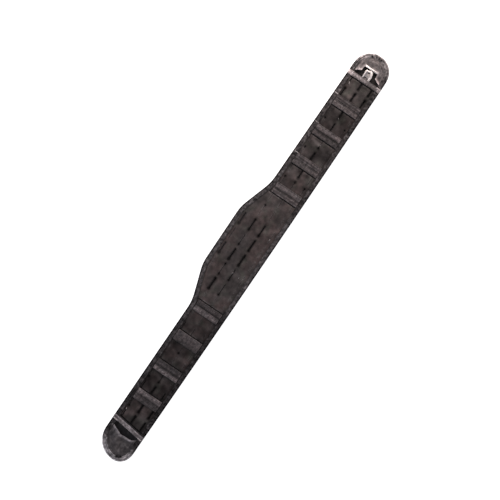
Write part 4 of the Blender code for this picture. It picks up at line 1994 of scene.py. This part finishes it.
@dataclass
class EndPocket:
    """The cloth cover of one round end, with its gaping mouth."""

    side: Side
    folds: tuple[Streak, ...]
    brightness: float
    overhang: float = 0.0
    overhang_y: float = -8 * MM
    step: float = 2.2 * MM
    thickness: float = 1.2 * MM
    full_top: float = 12.5 * MM
    full_inset: float = 26.0 * MM
    start_inset: float = 10.0 * MM
    start_drop: float = 0.05 * MM
    wall_inset: float = 8 * MM
    cloth_share: float = 0.80
    lip_height: float = 0.8 * MM
    lip_width: float = 2.0 * MM
    # A painted highlight along the rolled lip of the mouth.
    lip_painted_highlight: float = 2.4
    hem_rows: tuple[float, ...] = (13.2 * MM, 17.5 * MM)
    hem_width: float = 1.0 * MM
    hem_dent: float = 2.1 * MM
    hem_height: float = 0.40 * MM
    creases: Layers = ((0.40 * MM, 17 * MM, 12.0), (0.20 * MM, 5 * MM, 15.0))
    worn: Layers = ((0.6, 9 * MM, 41.0), (0.4, 3.5 * MM, 43.0))
    stitch_inset: float = 15.3 * MM
    stitch_pitch: float = 3.1 * MM
    stitch_start: float = 474 * MM
    knot_lines: tuple[float, ...] = (-1.1 * MM, 0.0, 1.1 * MM)
    knot_width: float = 1.6 * MM
    knot_height: float = 11.7 * MM
    mouth: KDTree = field(init=False)

    @property
    def node(self) -> str:
        """The CAD node that the pocket stands for."""
        return f"end_pocket_{self.side.word}"

    def lip(self, x: float, y: float) -> float:
        """How near a place is to the rolled lip of the mouth, from 0 to 1."""
        _, _, distance = self.mouth.find((x, y, 0.0))
        return bump(distance - 1.5 * MM, self.lip_width)

    def reach(self, x: float, y: float) -> float:
        """How far the cloth hangs over the middle of the mouth.

        Args:
            x: Place along the belt.
            y: Place across the belt.

        Returns:
            The signed distance along the belt.
        """
        _, _, distance = self.mouth.find((x, y, 0.0))
        middle = bump(y - self.overhang_y, 15 * MM)
        return -self.side.value * self.overhang * middle * math.exp(-distance / (5 * MM))

    def hem(self, x: float, y: float, inset: float) -> float:
        """The ridges of the hem round the end.

        Args:
            x: Place along the belt.
            y: Place across the belt.
            inset: The place's distance in from the edge.

        Returns:
            A value from about -1 to 1.
        """
        fade = 0.65 + 0.6 * smooth_noise(x, y, 30 * MM, 31.0 + self.side.value)
        return fade * sum(
            bump(inset - row, self.hem_width) - bump(inset - row - self.hem_dent, self.hem_width)
            for row in self.hem_rows
        )

    def top(self, x: float, y: float) -> float:
        """The height of the cover's upper side at a place.

        Args:
            x: Place along the belt.
            y: Place across the belt.

        Returns:
            The height.
        """
        inset = plan.inset(x, y)
        height = swell.top(min(inset, self.start_inset)) - self.start_drop
        share = (inset - self.start_inset) / (self.full_inset - self.start_inset)
        height += (self.full_top - height) * ease(share)
        lift = MM * streaked(x, y, self.folds) + layered_noise(x, y, self.creases)
        lift += self.hem_height * self.hem(x, y, inset) + self.lip_height * self.lip(x, y)
        return height + ease((inset - 11.5 * MM) / (3 * MM)) * lift

    def tone(self, x: float, y: float) -> float:
        """The brightness of the yarn at a place, with painted highlights on the lip and on the
        ridges of the folds and the hem, and painted shade in their dents.

        Args:
            x: Place along the belt.
            y: Place across the belt.

        Returns:
            The factor on the finish's colour.
        """
        # Random wear, with painted highlight and shade along the folds and the hem's ridges and
        # dents.
        shade = layered_noise(x, y, self.worn) + 0.40 * streaked(x, y, self.folds)
        shade += 0.35 * self.hem(x, y, plan.inset(x, y))
        # Painted highlight along the mouth's lip.
        lip = 1 + self.lip_painted_highlight * self.lip(x, y)
        return self.brightness * math.exp(shade) * lip

    def build(self) -> None:
        """Builds the cover from its CAD solid."""
        builder = gridded_copy(self.node, self.step)
        builder.normal_update()
        cut = builder.verts.layers.float.new("cut")
        tones = builder.verts.layers.float.new("tone")
        tops = {v for f in builder.faces if f.normal.z > 0.3 for v in f.verts}
        walls = {v for f in builder.faces if abs(f.normal.z) < 0.3 for v in f.verts}
        rims = {v for v in walls if plan.inset(v.co.x, v.co.y) > self.wall_inset}
        self.mouth = tree_of([Vector((v.co.x, v.co.y, 0.0)) for v in rims])
        for vert in builder.verts:
            x, y, _ = vert.co
            height = self.top(x, y)
            vert.co.z = height if vert in tops else height - self.thickness
            vert[cut] = 1.0 if vert in rims else 0.0
            vert[tones] = self.tone(x, y)
            vert.co.x = x + self.reach(x, y)
        piece = new_piece(f"{self.node}_cloth", builder, 50.0)
        stretched_sheet(piece, POCKET_CLOTH, self.node, self.cloth_share)

    def stitch(self, run: StitchRun, knots: StitchRun) -> None:
        """Adds the stitches round the end and the dark knots near its tip.

        Args:
            run: The pockets' stitches.
            knots: The dark knots.
        """
        for i in range(int(plan.length / self.stitch_pitch)):
            place, along = plan.at(i * self.stitch_pitch, self.stitch_inset)
            if place.x * self.side.value > self.stitch_start:
                run.add(Vector((*place, self.top(*place))), along, 2.2 * MM)
        for x, y, length in KNOTS[self.side]:
            height = max(self.top(x * MM, y * MM), self.knot_height)
            for shift in self.knot_lines:
                spot = Vector((x * MM + shift, y * MM, height))
                knots.add(spot, Vector((0.3, 1)), length * MM, self.knot_width)


@dataclass
class Hardware:
    """The steel hook on its webbing tab, and the bar on the pocket's edge."""

    edge: float = 0.35 * MM
    bevelled_nodes: tuple[str, ...] = ("hook_plate", "mouth_bar")
    tab_width: float = 20.0 * MM
    tab_thickness: float = 1.8 * MM
    tab_edge: float = 0.9 * MM
    tab_y: float = -12.0 * MM
    tab_path: tuple[tuple[float, float], ...] = (  # x, height of the underside
        (430.0 * MM, 5.0 * MM),
        (447.0 * MM, 5.0 * MM),
        (459.0 * MM, 6.4 * MM),
        (477.0 * MM, 6.4 * MM),
    )
    # A painted patch of light on the tab, under the hook.
    painted_light_share: float = 0.70
    painted_light_gain: float = 14.0

    @property
    def tab_length(self) -> float:
        """The tab's length along the belt."""
        return self.tab_path[-1][0] - self.tab_path[0][0]

    def bevelled(self, node: str) -> None:
        """Builds a copy of a CAD node with its edges rounded.

        Args:
            node: The node's name.
        """
        builder = merged_copy(node)
        sharp = [e for e in builder.edges if e.calc_face_angle(0.0) > math.radians(40)]
        bmesh.ops.bevel(
            builder,
            geom=sharp,
            offset=self.edge,
            affect="EDGES",
            segments=3,
            profile=0.5,
            material=-1,
            clamp_overlap=True,
        )
        piece = new_piece(f"{node}_bright", builder, 35.0)
        place_piece(piece, STEEL, (node,))

    def tab_place(self, u: float, v: float, w: float) -> Vector:
        """The place of a point of the tab.

        Args:
            u: The share across it, towards -Y.
            v: The share along it, towards +X.
            w: 0 on its underside and 1 on its top.

        Returns:
            The place.
        """
        x = self.tab_path[0][0] + self.tab_length * v
        base = self.tab_path[-1][1]
        for (near, low), (far, high) in zip(self.tab_path, self.tab_path[1:]):
            if near <= x <= far:
                base = low + (high - low) * ease((x - near) / (far - near))
                break
        across = (u - 0.5) * self.tab_width
        full = rounding(across, self.tab_width, self.tab_edge)
        lift = 0.6 + 0.4 * full if w > 0.5 else 0.25 * (1 - full)
        return Vector((x, self.tab_y - across, base + self.tab_thickness * lift))

    def tab_tone(self, u: float, v: float) -> float:
        """The brightness of the tab's yarn, with a painted patch of light under the hook."""
        along, across = (v - self.painted_light_share) * self.tab_length, (u - 0.5) * self.tab_width
        return 1 + self.painted_light_gain * bump(along, 3 * MM) * bump(across, 4 * MM)

    def build(self) -> None:
        """Builds the tab, the hook and the bar."""
        size = (self.tab_width, self.tab_length)
        builder = woven_slab(28, 30, self.tab_place, size, self.tab_tone)
        tab = new_piece("hook_tab_weave", builder, 60.0)
        place_piece(tab, TAB_WEBBING, ("hook_tab",))
        for node in self.bevelled_nodes:
            self.bevelled(node)


@dataclass(frozen=True)
class SoftLight:
    """A square soft light: its place, what it shines at, its side and its power."""

    name: str
    place: Point
    aim: Point
    size: float
    power: float
    colour: Colour

    def build(self) -> None:
        """Adds the light to the scene."""
        data = bpy.data.lights.new(self.name, "AREA")
        data.size = self.size
        data.energy = self.power
        data.color = self.colour
        light = add_to_scene(self.name, data)
        light.location = self.place
        direction = Vector(self.aim) - Vector(self.place)
        light.rotation_euler = direction.to_track_quat("-Z", "Y").to_euler()


@dataclass
class Studio:
    """The pale floor, the soft lights and the camera that looks straight down."""

    photo_width: float = 1.075
    aim: Point = (17.9 * MM, -14.0 * MM, 11.0 * MM)
    turn: float = -55.73
    lens: float = 85.0
    sensor: float = 36.0
    floor_reach: float = 4.0
    floor_height: float = -0.1 * MM
    floor_glow: float = 0.85
    sky_colour: Colour = (0.95, 0.93, 1.0)
    sky_strength: float = 0.42
    lights: tuple[SoftLight, ...] = (
        SoftLight("key", (1.05, 0.30, 0.60), (0.45, 0.0, 0.0), 0.7, 9.0, (1.0, 0.86, 0.77)),
        SoftLight("side", (-0.5, 1.5, 0.9), (-0.1, 0.0, 0.0), 0.8, 10.0, (0.88, 0.93, 1.0)),
    )

    def build(self) -> None:
        """Builds the studio."""
        self.camera()
        self.floor()
        self.sky()
        for light in self.lights:
            light.build()
        bpy.context.scene.view_settings.view_transform = "Standard"

    def camera(self) -> None:
        """The camera, at the photograph's distance and turn."""
        data = bpy.data.cameras.new("camera")
        data.lens = self.lens
        data.sensor_width = self.sensor
        data.clip_end = 50.0
        camera = add_to_scene("camera", data)
        distance = self.photo_width * self.lens / self.sensor
        camera.location = Vector(self.aim) + Vector((0.0, 0.0, distance))
        camera.rotation_euler = (0.0, 0.0, math.radians(self.turn))
        bpy.context.scene.camera = camera

    def floor(self) -> None:
        """A pale floor that is nearly white."""
        builder = bmesh.new()
        bmesh.ops.create_grid(builder, x_segments=1, y_segments=1, size=self.floor_reach)
        bmesh.ops.translate(builder, verts=builder.verts, vec=(0.0, 0.0, self.floor_height))
        floor = new_piece("floor", builder)
        pale = bpy.data.materials.new("pale floor")
        pale.use_nodes = True
        surface = {
            "Base Color": (0.9, 0.9, 0.9),
            "Roughness": 0.8,
            "Emission Color": (1.0, 1.0, 1.0),
            "Emission Strength": self.floor_glow,
        }
        ShaderTree(pale.node_tree).give(pale.node_tree.nodes["Principled BSDF"], surface)
        floor.data.materials.append(pale)

    def sky(self) -> None:
        """A weak sky of one colour."""
        world = bpy.data.worlds.new("soft sky")
        bpy.context.scene.world = world
        world.use_nodes = True
        sky = {"Color": self.sky_colour, "Strength": self.sky_strength}
        ShaderTree(world.node_tree).give(world.node_tree.nodes["Background"], sky)


def save_sizes() -> None:
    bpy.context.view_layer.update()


def main() -> None:
    """Builds the belt's sub-assemblies in order, then the studio."""
    logging.basicConfig(level=logging.INFO, format="%(name)s: %(message)s")
    BackPad().build()
    edge_tape = EdgeTape()
    edge_tape.build()
    edge_tape.stitch()
    edge_tape.tacks_and_lint()
    for node in sorted(PANEL_TONES):
        FacePanel(node).build()
    band_run = StitchRun()
    for look in BAND_LOOKS:
        band = WebbingBand(look)
        band.build()
        band.stitch(band_run)
    band_run.finish("band_stitches", THREAD, "nylon_webbing")
    tape_run, bars = StitchRun(), StitchRun()
    for side in Side:
        tape = EndTape(side)
        tape.build()
        tape.stitch(tape_run, bars)
    tape_run.finish("tape_stitches", THREAD, "end_tape_webbing")
    bars.finish("pale_bartacks", PALE_THREAD, "end_tape_webbing")
    pocket_run, knots = StitchRun(), StitchRun()
    for pocket in (
        EndPocket(Side.LEFT, LEFT_FOLDS, brightness=0.98, overhang=4.0 * MM),
        EndPocket(Side.RIGHT, RIGHT_FOLDS, brightness=1.9),
    ):
        pocket.build()
        pocket.stitch(pocket_run, knots)
    pocket_run.finish("pocket_stitches", THREAD, "pocket_cloth")
    knots.finish("dark_knots", TAB_WEBBING, "pocket_cloth")
    Hardware().build()
    Studio().build()
    save_sizes()


if __name__ == "__main__":
    main()
